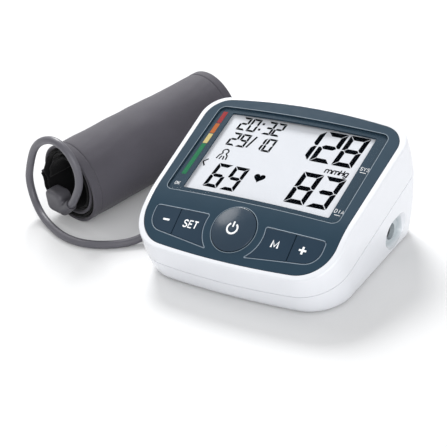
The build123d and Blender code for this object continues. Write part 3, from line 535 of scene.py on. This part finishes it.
# Pen lines of each letter, in a box one wide and one high.
glyphs = {
    "A": [[(0, 0), (0.5, 1), (1, 0)], [(0.2, 0.34), (0.8, 0.34)]],
    "D": [[(0, 0), (0, 1), (0.5, 1), (0.85, 0.86), (1, 0.5), (0.85, 0.14), (0.5, 0), (0, 0)]],
    "E": [[(1, 1), (0, 1), (0, 0), (1, 0)], [(0, 0.52), (0.9, 0.52)]],
    "H": [[(0, 0), (0, 1)], [(1, 0), (1, 1)], [(0, 0.5), (1, 0.5)]],
    "I": [[(0.5, 0), (0.5, 1)]],
    "K": [[(0, 0), (0, 1)], [(0.95, 1), (0, 0.4)], [(0.32, 0.6), (1, 0)]],
    "M": [[(0, 0), (0.04, 1), (0.5, 0.18), (0.96, 1), (1, 0)]],
    "O": [[(0.5, 0), (0.12, 0.16), (0, 0.5), (0.12, 0.84), (0.5, 1), (0.88, 0.84), (1, 0.5), (0.88, 0.16),
           (0.5, 0)]],
    "S": [[(0.95, 0.82), (0.78, 0.96), (0.5, 1), (0.2, 0.95), (0.05, 0.77), (0.18, 0.6), (0.5, 0.51),
           (0.82, 0.42), (0.97, 0.24), (0.8, 0.05), (0.5, 0), (0.2, 0.04), (0.03, 0.19)]],
    "T": [[(0, 1), (1, 1)], [(0.5, 1), (0.5, 0)]],
    "Y": [[(0, 1), (0.5, 0.48), (1, 1)], [(0.5, 0.48), (0.5, 0)]],
    "g": [[(1, 0.72), (1, -0.12), (0.8, -0.32), (0.3, -0.32), (0.08, -0.22)],
          [(1, 0.5), (0.78, 0.7), (0.28, 0.7), (0.02, 0.5), (0.02, 0.22), (0.28, 0), (0.78, 0), (1, 0.22)]],
    "m": [[(0, 0), (0, 0.72)], [(0, 0.52), (0.14, 0.7), (0.36, 0.7), (0.5, 0.52), (0.5, 0)],
          [(0.5, 0.52), (0.64, 0.7), (0.86, 0.7), (1, 0.52), (1, 0)]],
}


def word(text, left, low, height, widths, space, pen, lean=0.0, flat=0.02):
    # Lettering drawn with one pen, in millimetres; lean is sideways travel for each unit of height.
    lines = []
    for letter, width in zip(text, widths):
        for stroke in glyphs[letter]:
            points = [(left + px * width + lean * py * height, low + py * height) for px, py in stroke]
            lines.append((points, False))
        left += width + space
    return strokes(lines, pen, flat)


def arc(x, y, radius, start, end, steps=24):
    return [(x + radius * cos(radians(start + (end - start) * i / steps)),
             y + radius * sin(radians(start + (end - start) * i / steps))) for i in range(steps + 1)]


def roundedBox(left, right, low, high, corner, steps=6):
    points = []
    for x, y, start in ((right - corner, high - corner, 0), (left + corner, high - corner, 90),
                        (left + corner, low + corner, 180), (right - corner, low + corner, 270)):
        points += arc(x, y, corner, start, start + 90, steps)
    return points


# Display: a printed mask inside the window, the scale beside it and the figures on the glass.
display = {
    "maskRise": -1.06,
    "maskDepth": 0.04,
    "maskColumns": 16,
    "window": (-53.42, 53.42, -30.32, 33.92),
    "windowCorner": 4.1,
    "screen": (-43.7, 46.7, -26.9, 30.7),
    "screenCorner": 0.8,
    "glassLevel": -3.99,
    "segmentDepth": 0.04,
    "penDepth": 0.02,
    "scale": {"red": (22.0, 30.8), "orange": (13.9, 21.4), "yellow": (5.9, 13.3), "green": (-18.0, 5.4)},
    "scalePlace": (-50.2, -47.2),
    "inkRise": -0.99,
    "inkDepth": 0.03,
    "smallLabels": {"label_ok": ("OK", -50.1, -25.9), "label_sys": ("SYS", 47.7, 7.6),
                    "label_dia": ("DIA", 47.6, -22.5)},
    "smallHeight": 2.2,
    "smallWidth": 1.3,
    "smallSpace": 0.6,
    "smallPen": 0.33,
    "smallRise": -0.97,
    "underlines": {"line_sys": 6.1, "line_dia": -24.1},
    "underlinePlace": (48.4, 51.8),
    "underlineWidth": 0.35,
}


def makeMask(display):
    # Frame-shaped print between the window's outline and the screen, cut into columns so that it
    # follows the crown.
    left, right, low, high = display["window"]
    inLeft, inRight, inLow, inHigh = display["screen"]
    outer = roundedBox(left, right, low, high, display["windowCorner"])
    inner = roundedBox(inLeft, inRight, inLow, inHigh, display["screenCorner"], 3)
    columns = display["maskColumns"]
    steps = [inLeft + (inRight - inLeft) * i / columns for i in range(columns + 1)]
    shape = bmesh.new()
    for level in (display["maskRise"], display["maskRise"] + display["maskDepth"]):
        ring = [shape.verts.new((x, y, level)) for x, y in outer]
        hole = [shape.verts.new((x, y, level)) for x, y in inner]
        edges = [shape.edges.new((loop[i], loop[(i + 1) % len(loop)])) for loop in (ring, hole)
                 for i in range(len(loop))]
        bmesh.ops.triangle_fill(shape, edges=edges, use_beauty=True)
    shape.verts.ensure_lookup_table()
    half = len(shape.verts) // 2
    count = len(outer)
    for start, size in ((0, count), (count, half - count)):
        for i in range(size):
            a, b = start + i, start + (i + 1) % size
            corners = [shape.verts[k] for k in (a, b, b + half, a + half)]
            shape.faces.new(corners)
    for step in steps:
        geometry = shape.verts[:] + shape.edges[:] + shape.faces[:]
        bmesh.ops.bisect_plane(shape, geom=geometry, plane_co=(step, 0, 0), plane_no=(1, 0, 0))
    bmesh.ops.recalc_face_normals(shape, faces=shape.faces)
    mesh = bpy.data.meshes.new("window_print")
    shape.to_mesh(mesh)
    shape.free()
    laid("window_print", mesh, onDisplay(0), "bluePanel")


def makeScale(display):
    def ink(name, left, right, low, high, finish):
        box = [(left, low), (right, low), (right, high), (left, high)]
        laid(name, plates([box], 0, display["inkDepth"]), onDisplay(display["inkRise"]), finish)

    for colour, (low, high) in display["scale"].items():
        ink("scale_" + colour, *display["scalePlace"], low, high, colour + "Ink")
    for name, (text, left, low) in display["smallLabels"].items():
        letters = word(text, left, low, display["smallHeight"], (display["smallWidth"],) * len(text),
                       display["smallSpace"], display["smallPen"])
        laid(name, letters, onDisplay(display["smallRise"]), "whiteInk")
    for name, low in display["underlines"].items():
        ink(name, *display["underlinePlace"], low, low + display["underlineWidth"], "whiteInk")


# Which of its seven segments each digit lights.
segmentsOf = {"0": "abcdef", "1": "bc", "2": "abged", "3": "abgcd", "6": "afgedc", "8": "abcdefg",
              "9": "abcdfg"}


def figure(digit, x, y, right, top, stroke, lean, gap):
    # Outlines of a digit's segments, for a digit that is right wide and top high.
    middle, inner, half = top / 2, stroke + gap, stroke / 2
    shapes = {
        "a": [(gap, top), (inner, top - stroke), (right - inner, top - stroke), (right - gap, top)],
        "d": [(gap, 0), (right - gap, 0), (right - inner, stroke), (inner, stroke)],
        "g": [(half + gap, middle), (inner, middle - half), (right - inner, middle - half),
              (right - half - gap, middle), (right - inner, middle + half), (inner, middle + half)],
        "f": [(0, top - gap), (0, middle + gap), (half, middle + gap), (stroke, middle + half + gap),
              (stroke, top - inner)],
        "e": [(0, gap), (stroke, inner), (stroke, middle - half - gap), (half, middle - gap),
              (0, middle - gap)],
    }
    shapes["b"] = [(right - px, py) for px, py in shapes["f"]][::-1]
    shapes["c"] = [(right - px, py) for px, py in shapes["e"]][::-1]
    return [[(x + px + lean * py, y + py) for px, py in shapes[name]] for name in segmentsOf[digit]]


# Text, left, low, digit width, height, stroke, lean, gap and the digits' shifts.
figures = {
    "figure_time": ("20 32", -37.1, 20.6, 5.5, 10.0, 1.35, 0.085, 0.16, (0, 6.35, 0, 16.5, 22.4)),
    "figure_date": ("29 10", -37.2, 8.6, 5.5, 9.9, 1.35, 0.085, 0.16, (0, 6.3, 0, 16.6, 22.8)),
    "figure_pulse": ("69", -34.3, -22.2, 9.1, 17.4, 2.25, 0.08, 0.26, (0, 10.75)),
    "figure_sys": ("128", 2.9, 8.5, 12.1, 22.2, 2.9, 0.07, 0.3, (0, 13.3, 26.8)),
    "figure_dia": ("83", 16.3, -21.5, 12.1, 22.2, 2.9, 0.07, 0.3, (0, 13.4)),
}
# Pen lines, each with whether it closes, and the pen's width.
marks = {
    "mark_slash": ([([(-23.9, 9.3), (-21.3, 18.0)], False)], 1.2),
    "mark_arrow": ([([(-40.9, -3.5), (-43.2, -5.9), (-41.0, -8.6)], False)], 0.95),
    "mark_user": ([(arc(-33.8, 3.7, 1.75, -60, 240, 16), False),
                   ([(-35.0, 2.0), (-36.3, 0.8), (-36.9, -2.0)], False),
                   ([(-32.6, 2.0), (-31.3, 0.8), (-30.9, -2.0)], False),
                   ([(-34.5, 0.4), (-35.1, -2.2)], False), ([(-33.2, 0.4), (-32.7, -2.2)], False)], 0.85),
}
colon = {"dots": ((-22.4, 27.8), (-23.1, 23.4)), "halfWidth": 0.7, "halfHeight": 0.75, "corner": 0.2}
heart = {"middle": (-4.9, -9.5), "across": 0.213, "up": 0.208, "steps": 40}
unit = {"text": "mmHg", "left": 28.7, "low": 2.5, "height": 3.55, "widths": (3.6, 3.6, 2.0, 1.9),
        "space": 0.75, "pen": 0.76, "lean": 0.08}


def makeFigures():
    place = onGlass(display["glassLevel"])
    penPlace = onGlass(display["glassLevel"] + display["penDepth"])

    def flat(name, outlines):
        laid(name, plates(outlines, 0, display["segmentDepth"]), place, "blackSegment")

    for name, (text, x, y, width, height, stroke, lean, gap, shifts) in figures.items():
        outlines = []
        for digit, shift in zip(text, shifts):
            if digit != " ":
                outlines += figure(digit, x + shift, y, width, height, stroke, lean, gap)
        flat(name, outlines)
    across, up = colon["halfWidth"], colon["halfHeight"]
    flat("figure_colon", [roundedBox(x - across, x + across, y - up, y + up, colon["corner"], 2)
                          for x, y in colon["dots"]])
    for name, (lines, width) in marks.items():
        laid(name, strokes(lines, width, display["penDepth"]), penPlace, "blackSegment")
    outline = []
    for i in range(heart["steps"]):
        t = 2 * pi * i / heart["steps"]
        x = 16 * sin(t) ** 3
        y = 13 * cos(t) - 5 * cos(2 * t) - 2 * cos(3 * t) - cos(4 * t)
        outline.append((heart["middle"][0] + x * heart["across"], heart["middle"][1] + y * heart["up"]))
    flat("mark_heart", [outline])
    letters = word(unit["text"], unit["left"], unit["low"], unit["height"], unit["widths"], unit["space"],
                   unit["pen"], unit["lean"])
    laid("label_unit", letters, penPlace, "blackSegment")


makeMask(display)
makeScale(display)
makeFigures()
print("display printed")

# Key labels, in white on the keys' own surface.
keyInk = {"rise": 0.26, "depth": 0.03, "domeDepth": 0.05}
dome = {"radius": 12.75, "rise": 1.9, "edge": 0.5, "sign": (0.0, -0.2), "ring": 3.0,
        "ringSpan": (125, 415), "bar": (0.8, 4.0), "line": 1.05}
labels = {
    "label_minus": ("minus_key", plates([roundedBox(-44.5, -40.3, -3.0, -1.9, 0.2, 2)], 0,
                                         keyInk["depth"])),
    "label_plus": ("plus_key", plates([[(39.9, -3.0), (41.4, -3.0), (41.4, -4.6), (42.55, -4.6),
                                        (42.55, -3.0), (44.05, -3.0), (44.05, -1.9), (42.55, -1.9),
                                        (42.55, -0.35), (41.4, -0.35), (41.4, -1.9), (39.9, -1.9)]], 0,
                                       keyInk["depth"])),
    "label_set": ("set_key", word("SET", -30.7, -4.45, 3.95, (2.45, 2.1, 2.3), 0.95, 0.78, 0.04)),
    "label_memory": ("memory_key", word("M", 24.4, -4.75, 3.8, (3.6,), 0, 0.98, 0.02)),
}


def makeLabels():
    for name, (body, mesh) in labels.items():
        laid(name, mesh, onKeys(keyInk["rise"]), "whiteInk", body)
    x, y = dome["sign"]
    low, high = dome["bar"]
    sign = strokes([(arc(x, y, dome["ring"], *dome["ringSpan"], 40), False),
                    ([(x, y + low), (x, y + high)], False)], dome["line"], keyInk["domeDepth"])
    laid("label_power", sign, onDome(dome), "whiteInk", "power_button")
    print("keys labelled")


makeLabels()

# Fine raised edges round the window, the two key groups and the dome, coloured paler as painted highlights.
edging = {
    "width": 0.42,
    "keyWidth": 0.50,
    "rise": 0.12,
    "window": (-53.56, 53.56, -30.46, 34.06, 4.25),
    "ring": 18.05,  # inner edge of a key group, round the dome
    "ringSteps": 10,
    "top": 5.45,
    "outer": 52.45,
    "outerDrop": 8.45,
    "innerDrop": 13.7,
    "corners": (0.3, 2.3, 9.3, 1.2),
    "domeRadius": 13.35,
}


def rounded(points, radii, steps=7):
    # Closed outline with each corner rounded by its own radius.
    line = []
    for i, (corner, radius) in enumerate(zip(points, radii)):
        here, before = Vector(corner), Vector(points[i - 1])
        after = Vector(points[(i + 1) % len(points)])
        inward, outward = (before - here).normalized(), (after - here).normalized()
        if radius <= 0:
            line.append(tuple(here))
            continue
        half = inward.angle(outward) / 2
        reach = radius / sin(half) * cos(half)
        middle = here + (inward + outward).normalized() * (radius / sin(half))
        first, last = here + inward * reach - middle, here + outward * reach - middle
        for k in range(steps + 1):
            line.append(tuple(middle + first.slerp(last, k / steps) * radius))
    return line


def divided(outline, longest=2.0):
    # The same closed outline with no long steps, so that it can follow a curved surface.
    line = []
    for i, start in enumerate(outline):
        end = outline[(i + 1) % len(outline)]
        parts = max(1, round(hypot(end[0] - start[0], end[1] - start[1]) / longest))
        line += [(start[0] + (end[0] - start[0]) * k / parts,
                  start[1] + (end[1] - start[1]) * k / parts) for k in range(parts)]
    return line


def makeEdging(edging):
    def edge(name, outline, place, width, finish):
        line = strokes([(divided(outline), True)], width, edging["rise"])
        laid(name, line, place, finish)

    width = edging["width"]
    # Each strip carries a painted highlight in its paler finish.
    edge("painted_highlight_window", roundedBox(*edging["window"]), onDisplay(0), width, "paintedHighlightLine")
    ring, top, drop = edging["ring"], edging["top"], edging["innerDrop"]
    start, end = asin(-drop / ring), asin(top / ring)
    steps = edging["ringSteps"]
    angles = [start + (end - start) * k / steps for k in range(steps + 1)]
    inner = [(ring * cos(angle), ring * sin(angle)) for angle in angles]
    corners = [inner[-1], (edging["outer"], top), (edging["outer"], -edging["outerDrop"]), inner[0]]
    corners += inner[1:-1]
    foot, topCorner, outerCorner, innerCorner = edging["corners"]
    radii = [innerCorner, topCorner, outerCorner, foot] + [0] * (len(inner) - 2)
    group = rounded(corners, radii)
    # The keyLine finish of the key groups' strips is a painted highlight as well.
    for name, side in (("painted_highlight_keys_left", -1), ("painted_highlight_keys_right", 1)):
        edge(name, [(side * x, y) for x, y in group], onKeys(0), edging["keyWidth"], "keyLine")
    edge("painted_highlight_dome", arc(0, 0, edging["domeRadius"], 0, 360, 72)[:-1], onKeys(0), width, "paintedHighlightLine")
    print("edges laid")


makeEdging(edging)

# Cuff: an outer strip and a brushed lining, rolled up together in two turns.
cuff = {
    "near": (-132.15, -15.2, 24.6),
    "angle": 76.0,
    "length": 114.0,
    "radius": 25.6,
    "step": 2.3,  # how much each half turn is smaller
    "halfTurns": 4,
    "stepsPerHalf": 48,
    "coverDepth": 1.6,
    "liningFrom": 2.8,
    "liningDepth": 1.2,
    "hem": 5.6,
    "hemSteps": (0, 0.12, 0.35, 0.7, 1.2, 2, 3, 4, 4.8, 5.2, 5.45, 5.6, 5.75, 6.0, 6.4, 7.2, 8.4),
    "plainStep": 1.9,
    "edgeRound": 0.6,  # share of a strip's depth over which its edge is rounded
    "edgeLeast": 0.12,  # share of the depth that is left at the very edge
    "floor": -1.0,
    "portGrain": 0.00045,
    "portEasing": 14,
    "portEase": 0.5,
}
cuffAlong = Vector((cos(radians(cuff["angle"])), sin(radians(cuff["angle"])), 0))
cuffAcross = Vector((sin(radians(cuff["angle"])), -cos(radians(cuff["angle"])), 0))


def onRoll(turned, depth, along):
    # Point on the roll: turned in half turns from the free edge, depth under the outer face.
    half = min(int(turned), cuff["halfTurns"] - 1)
    angle = radians(180 * (1 - half % 2) + 180 * (turned - half))
    radius = cuff["radius"] - half * cuff["step"] - depth
    across = half % 2 * cuff["step"] + radius * cos(angle)
    height = Vector((0, 0, radius * sin(angle)))
    return Vector(cuff["near"]) + cuffAcross * across + height + cuffAlong * along


def rollLength(turned, depth=0.0):
    half = min(int(turned), cuff["halfTurns"] - 1)
    whole = sum(pi * (cuff["radius"] - i * cuff["step"] - depth) for i in range(half))
    return whole + (turned - half) * pi * (cuff["radius"] - half * cuff["step"] - depth)


def rolledStrip(name, start, depth, relief, ends):
    # Closed strip with rounded edges, from relief(turned, along, near, far) on its outer face and
    # ends(turned) at its mouths.
    columns = cuff["halfTurns"] * cuff["stepsPerHalf"]
    hem = cuff["hemSteps"]
    plain = round((cuff["length"] - 2 * hem[-1]) / cuff["plainStep"])
    rows = 2 * len(hem) + plain - 2
    shape = bmesh.new()
    cloth = shape.verts.layers.float_vector.new("cloth")
    grids = []
    for side in (0, 1):
        grid = []
        for i in range(columns + 1):
            turned = cuff["halfTurns"] * i / columns
            near, far = ends(turned)
            line = []
            for j in range(rows + 1):
                if j < len(hem):
                    along = near + hem[j]
                elif rows - j < len(hem):
                    along = far - hem[rows - j]
                else:
                    share = (j - len(hem) + 1) / plain
                    along = near + hem[-1] + (far - near - 2 * hem[-1]) * share
                edge = min(along - near, far - along, rollLength(turned),
                           rollLength(cuff["halfTurns"]) - rollLength(turned))
                full = sqrt(max(0.0, 1 - (1 - min(edge / (depth * cuff["edgeRound"]), 1.0)) ** 2))
                full = cuff["edgeLeast"] + (1 - cuff["edgeLeast"]) * full
                level = start + depth / 2 + (depth / 2) * full * (1 if side else -1)
                if not side:
                    level -= relief(turned, along, near, far) * full
                vertex = shape.verts.new(onRoll(turned, level, along) * mm)
                vertex[cloth] = Vector((rollLength(turned), along, 0)) * mm
                line.append(vertex)
            grid.append(line)
        grids.append(grid)
    outer, inner = grids
    for i in range(columns):
        for j in range(rows):
            shape.faces.new((outer[i][j], outer[i + 1][j], outer[i + 1][j + 1], outer[i][j + 1]))
            shape.faces.new((inner[i][j], inner[i][j + 1], inner[i + 1][j + 1], inner[i + 1][j]))
    for i in range(columns):
        for j in (0, rows):
            shape.faces.new((outer[i][j], inner[i][j], inner[i + 1][j], outer[i + 1][j]))
    for j in range(rows):
        for i in (0, columns):
            shape.faces.new((outer[i][j], outer[i][j + 1], inner[i][j + 1], inner[i][j]))
    bmesh.ops.recalc_face_normals(shape, faces=shape.faces)
    mesh = bpy.data.meshes.new(name)
    shape.to_mesh(mesh)
    shape.free()
    for face in mesh.polygons:
        face.use_smooth = True
    return bpy.data.objects.new(name, mesh)


coverForm = {
    "slack": (0.42, 0.22),
    "crease": 0.16,
    "sink": 0.1,
    "hemShare": 0.3,  # how much of the slack the hem keeps
    "hemRise": 0.22,
    "seamWidth": 0.45,
    "seamDepth": 0.38,
    "stitchDepth": 0.16,
    "stitchPitch": 2.6,
    "freeSeamWidth": 0.9,
    "freeSeamDepth": 0.35,
    "limits": (-0.7, 0.34),
    "innerFrom": 1.9,  # half turns
    "innerLimit": 0.08,
    "wobble": (0.6, 0.5),  # of the near and the far mouth
    "shrinkFrom": 1.8,  # half turns
    "shrink": 0.9,
}
liningForm = {
    "slack": 0.15,
    "highest": 0.08,
    "inset": (0.9, 0.8),
    "hang": 3.4,
    "crumple": 1.3,
    "leftTurn": 20,  # degrees that the hanging part is turned
    "leftPower": 0.7,
    "lastShare": 0.94,
}


def coverRelief(turned, along, near, far):
    # Slack and creases in the cover, with a turned-in hem and its line of stitches along both mouths.
    form = coverForm
    place = onRoll(turned, 0, along)
    slack = (form["slack"][0] * noise.noise(place * 0.035)
             + form["slack"][1] * noise.noise(place * 0.09 + Vector((7, 3, 1))))
    crease = form["crease"] * noise.noise(Vector((place.x * 0.3, place.y * 0.05, place.z * 0.3)))
    rise = slack + crease - form["sink"]
    edge = min(along - near, far - along)
    if edge < cuff["hem"]:
        rise = form["hemShare"] * rise + form["hemRise"]
    seam = (edge - cuff["hem"]) / form["seamWidth"]
    stitch = 0.5 + 0.5 * cos(2 * pi * rollLength(turned) / form["stitchPitch"])
    rise -= (form["seamDepth"] + form["stitchDepth"] * stitch) * max(0.0, 1 - seam * seam)
    freeSeam = (rollLength(turned) - cuff["hem"]) / form["freeSeamWidth"]
    rise -= form["freeSeamDepth"] * max(0.0, 1 - freeSeam * freeSeam)
    lowest, highest = form["limits"]
    rise = max(lowest, min(highest, rise, place.z - cuff["floor"]))
    return min(rise, form["innerLimit"]) if turned > form["innerFrom"] else rise


def liningRelief(turned, along, near, far):
    place = onRoll(turned, cuff["liningFrom"], along)
    return min(liningForm["slack"] * noise.noise(place * 0.12), liningForm["highest"])


def coverEnds(turned):
    wobble = noise.noise(Vector((turned * 1.3, 2.0, 5.0)))
    inner = max(0.0, turned - coverForm["shrinkFrom"])
    near, far = coverForm["wobble"]
    return near * wobble + coverForm["shrink"] * inner, cuff["length"] + far * wobble


def liningEnds(turned):
    # The lining is longer than the cover on the left of the near mouth, where it comes out crumpled.
    form = liningForm
    angle = 180 * (1 - int(turned) % 2) + 180 * (turned - int(turned))
    left = form["lastShare"]
    if turned < cuff["halfTurns"]:
        left = max(0.0, -cos(radians(angle - form["leftTurn"]))) ** form["leftPower"]
    crumple = noise.noise(Vector((turned * 9.0, 1.0, 9.0)))
    crumple += 0.6 * noise.noise(Vector((turned * 23.0, 4.0, 2.0)))
    near, far = form["inset"]
    return near - (form["hang"] + form["crumple"] * crumple) * left, cuff["length"] - far


def makeCuff(cuff):
    cover = rolledStrip("cuff_outer_strip", 0.0, cuff["coverDepth"], coverRelief, coverEnds)
    keep(cover, "cuffFabric")
    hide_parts("cuff_cover")
    lining = rolledStrip("cuff_inner_strip", cuff["liningFrom"], cuff["liningDepth"], liningRelief,
                         liningEnds)
    keep(lining, "cuffLoop")
    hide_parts("cuff_lining")
    middles = (cuff["coverDepth"] / 2, cuff["liningFrom"] + cuff["liningDepth"] / 2)
    for piece, depth in zip((cover, lining), middles):
        flat = (rollLength(cuff["halfTurns"], depth) * mm, cuff["length"] * mm)
    port = nodes["cuff_port"]
    soft = port.modifiers.new("soft", "REMESH")
    soft.mode = "VOXEL"
    soft.voxel_size = cuff["portGrain"]
    soft.use_smooth_shade = True
    eased = port.modifiers.new("eased", "SMOOTH")
    eased.factor = cuff["portEase"]
    eased.iterations = cuff["portEasing"]
    print("cuff rolled,", round(rollLength(cuff["halfTurns"])), "mm long")


makeCuff(cuff)

# Floor and lamps.
studio = {
    "floorLevel": -0.001,
    "floorSize": 6.0,
    "floorColour": (0.69, 0.694, 0.70, 1.0),
    "floorLift": 0.07,  # seen by the camera, in reflections and through clear pieces only
    "sky": 0.60,
    "backdrop": 1.0,
    "lampsAim": (-0.03, 0.0, 0.03),
    "lamps": {
        "keyLamp": {"place": (-1.70, 2.05, 2.45), "size": 1.55, "power": 124.0},
        "glintLamp": {"place": (-0.66, 0.04, 0.76), "size": 0.34, "power": 1.2},
        "fillLamp": {"place": (2.55, -2.10, 1.50), "size": 3.2, "power": 75.0},
    },
}


def makeStudio(studio):
    mesh = bpy.data.meshes.new("floor")
    half, low = studio["floorSize"] / 2, studio["floorLevel"]
    corners = [(-half, -half, low), (half, -half, low), (half, half, low), (-half, half, low)]
    mesh.from_pydata(corners, [], [(0, 1, 2, 3)])
    floor = bpy.data.objects.new("floor", mesh)
    scene.collection.objects.link(floor)
    finish = Finish("floorPaper")
    finish.shader.inputs["Base Color"].default_value = studio["floorColour"]
    finish.constants(rough=1.0, specular=0.0)
    rays = finish.node("ShaderNodeLightPath").outputs
    seen = finish.combine("MAXIMUM", rays["Is Camera Ray"], rays["Is Glossy Ray"])
    seen = finish.combine("MAXIMUM", seen, rays["Is Transmission Ray"])
    finish.shader.inputs["Emission Color"].default_value = (1, 1, 1, 1)
    finish.link(finish.combine("MULTIPLY", seen, studio["floorLift"]),
                finish.shader.inputs["Emission Strength"])
    mesh.materials.append(finish.material)
    world = bpy.data.worlds.new("studio")
    scene.world = world
    world.use_nodes = True
    tree = world.node_tree
    backdrop = tree.nodes["Background"]
    backdrop.inputs["Color"].default_value = (1, 1, 1, 1)
    level = tree.nodes.new("ShaderNodeMapRange")
    level.inputs["To Min"].default_value = studio["sky"]
    level.inputs["To Max"].default_value = studio["backdrop"]  # what the camera sees past the floor
    tree.links.new(tree.nodes.new("ShaderNodeLightPath").outputs["Is Camera Ray"], level.inputs["Value"])
    tree.links.new(level.outputs["Result"], backdrop.inputs["Strength"])
    for name, lamp in studio["lamps"].items():
        data = bpy.data.lights.new(name, "AREA")
        data.shape = "DISK"
        data.size = lamp["size"]
        data.energy = lamp["power"]
        light = bpy.data.objects.new(name, data)
        scene.collection.objects.link(light)
        light.location = lamp["place"]
        aim = Vector(studio["lampsAim"]) - Vector(lamp["place"])
        light.rotation_euler = aim.to_track_quat("-Z", "Y").to_euler()
    print("studio lit")


makeStudio(studio)
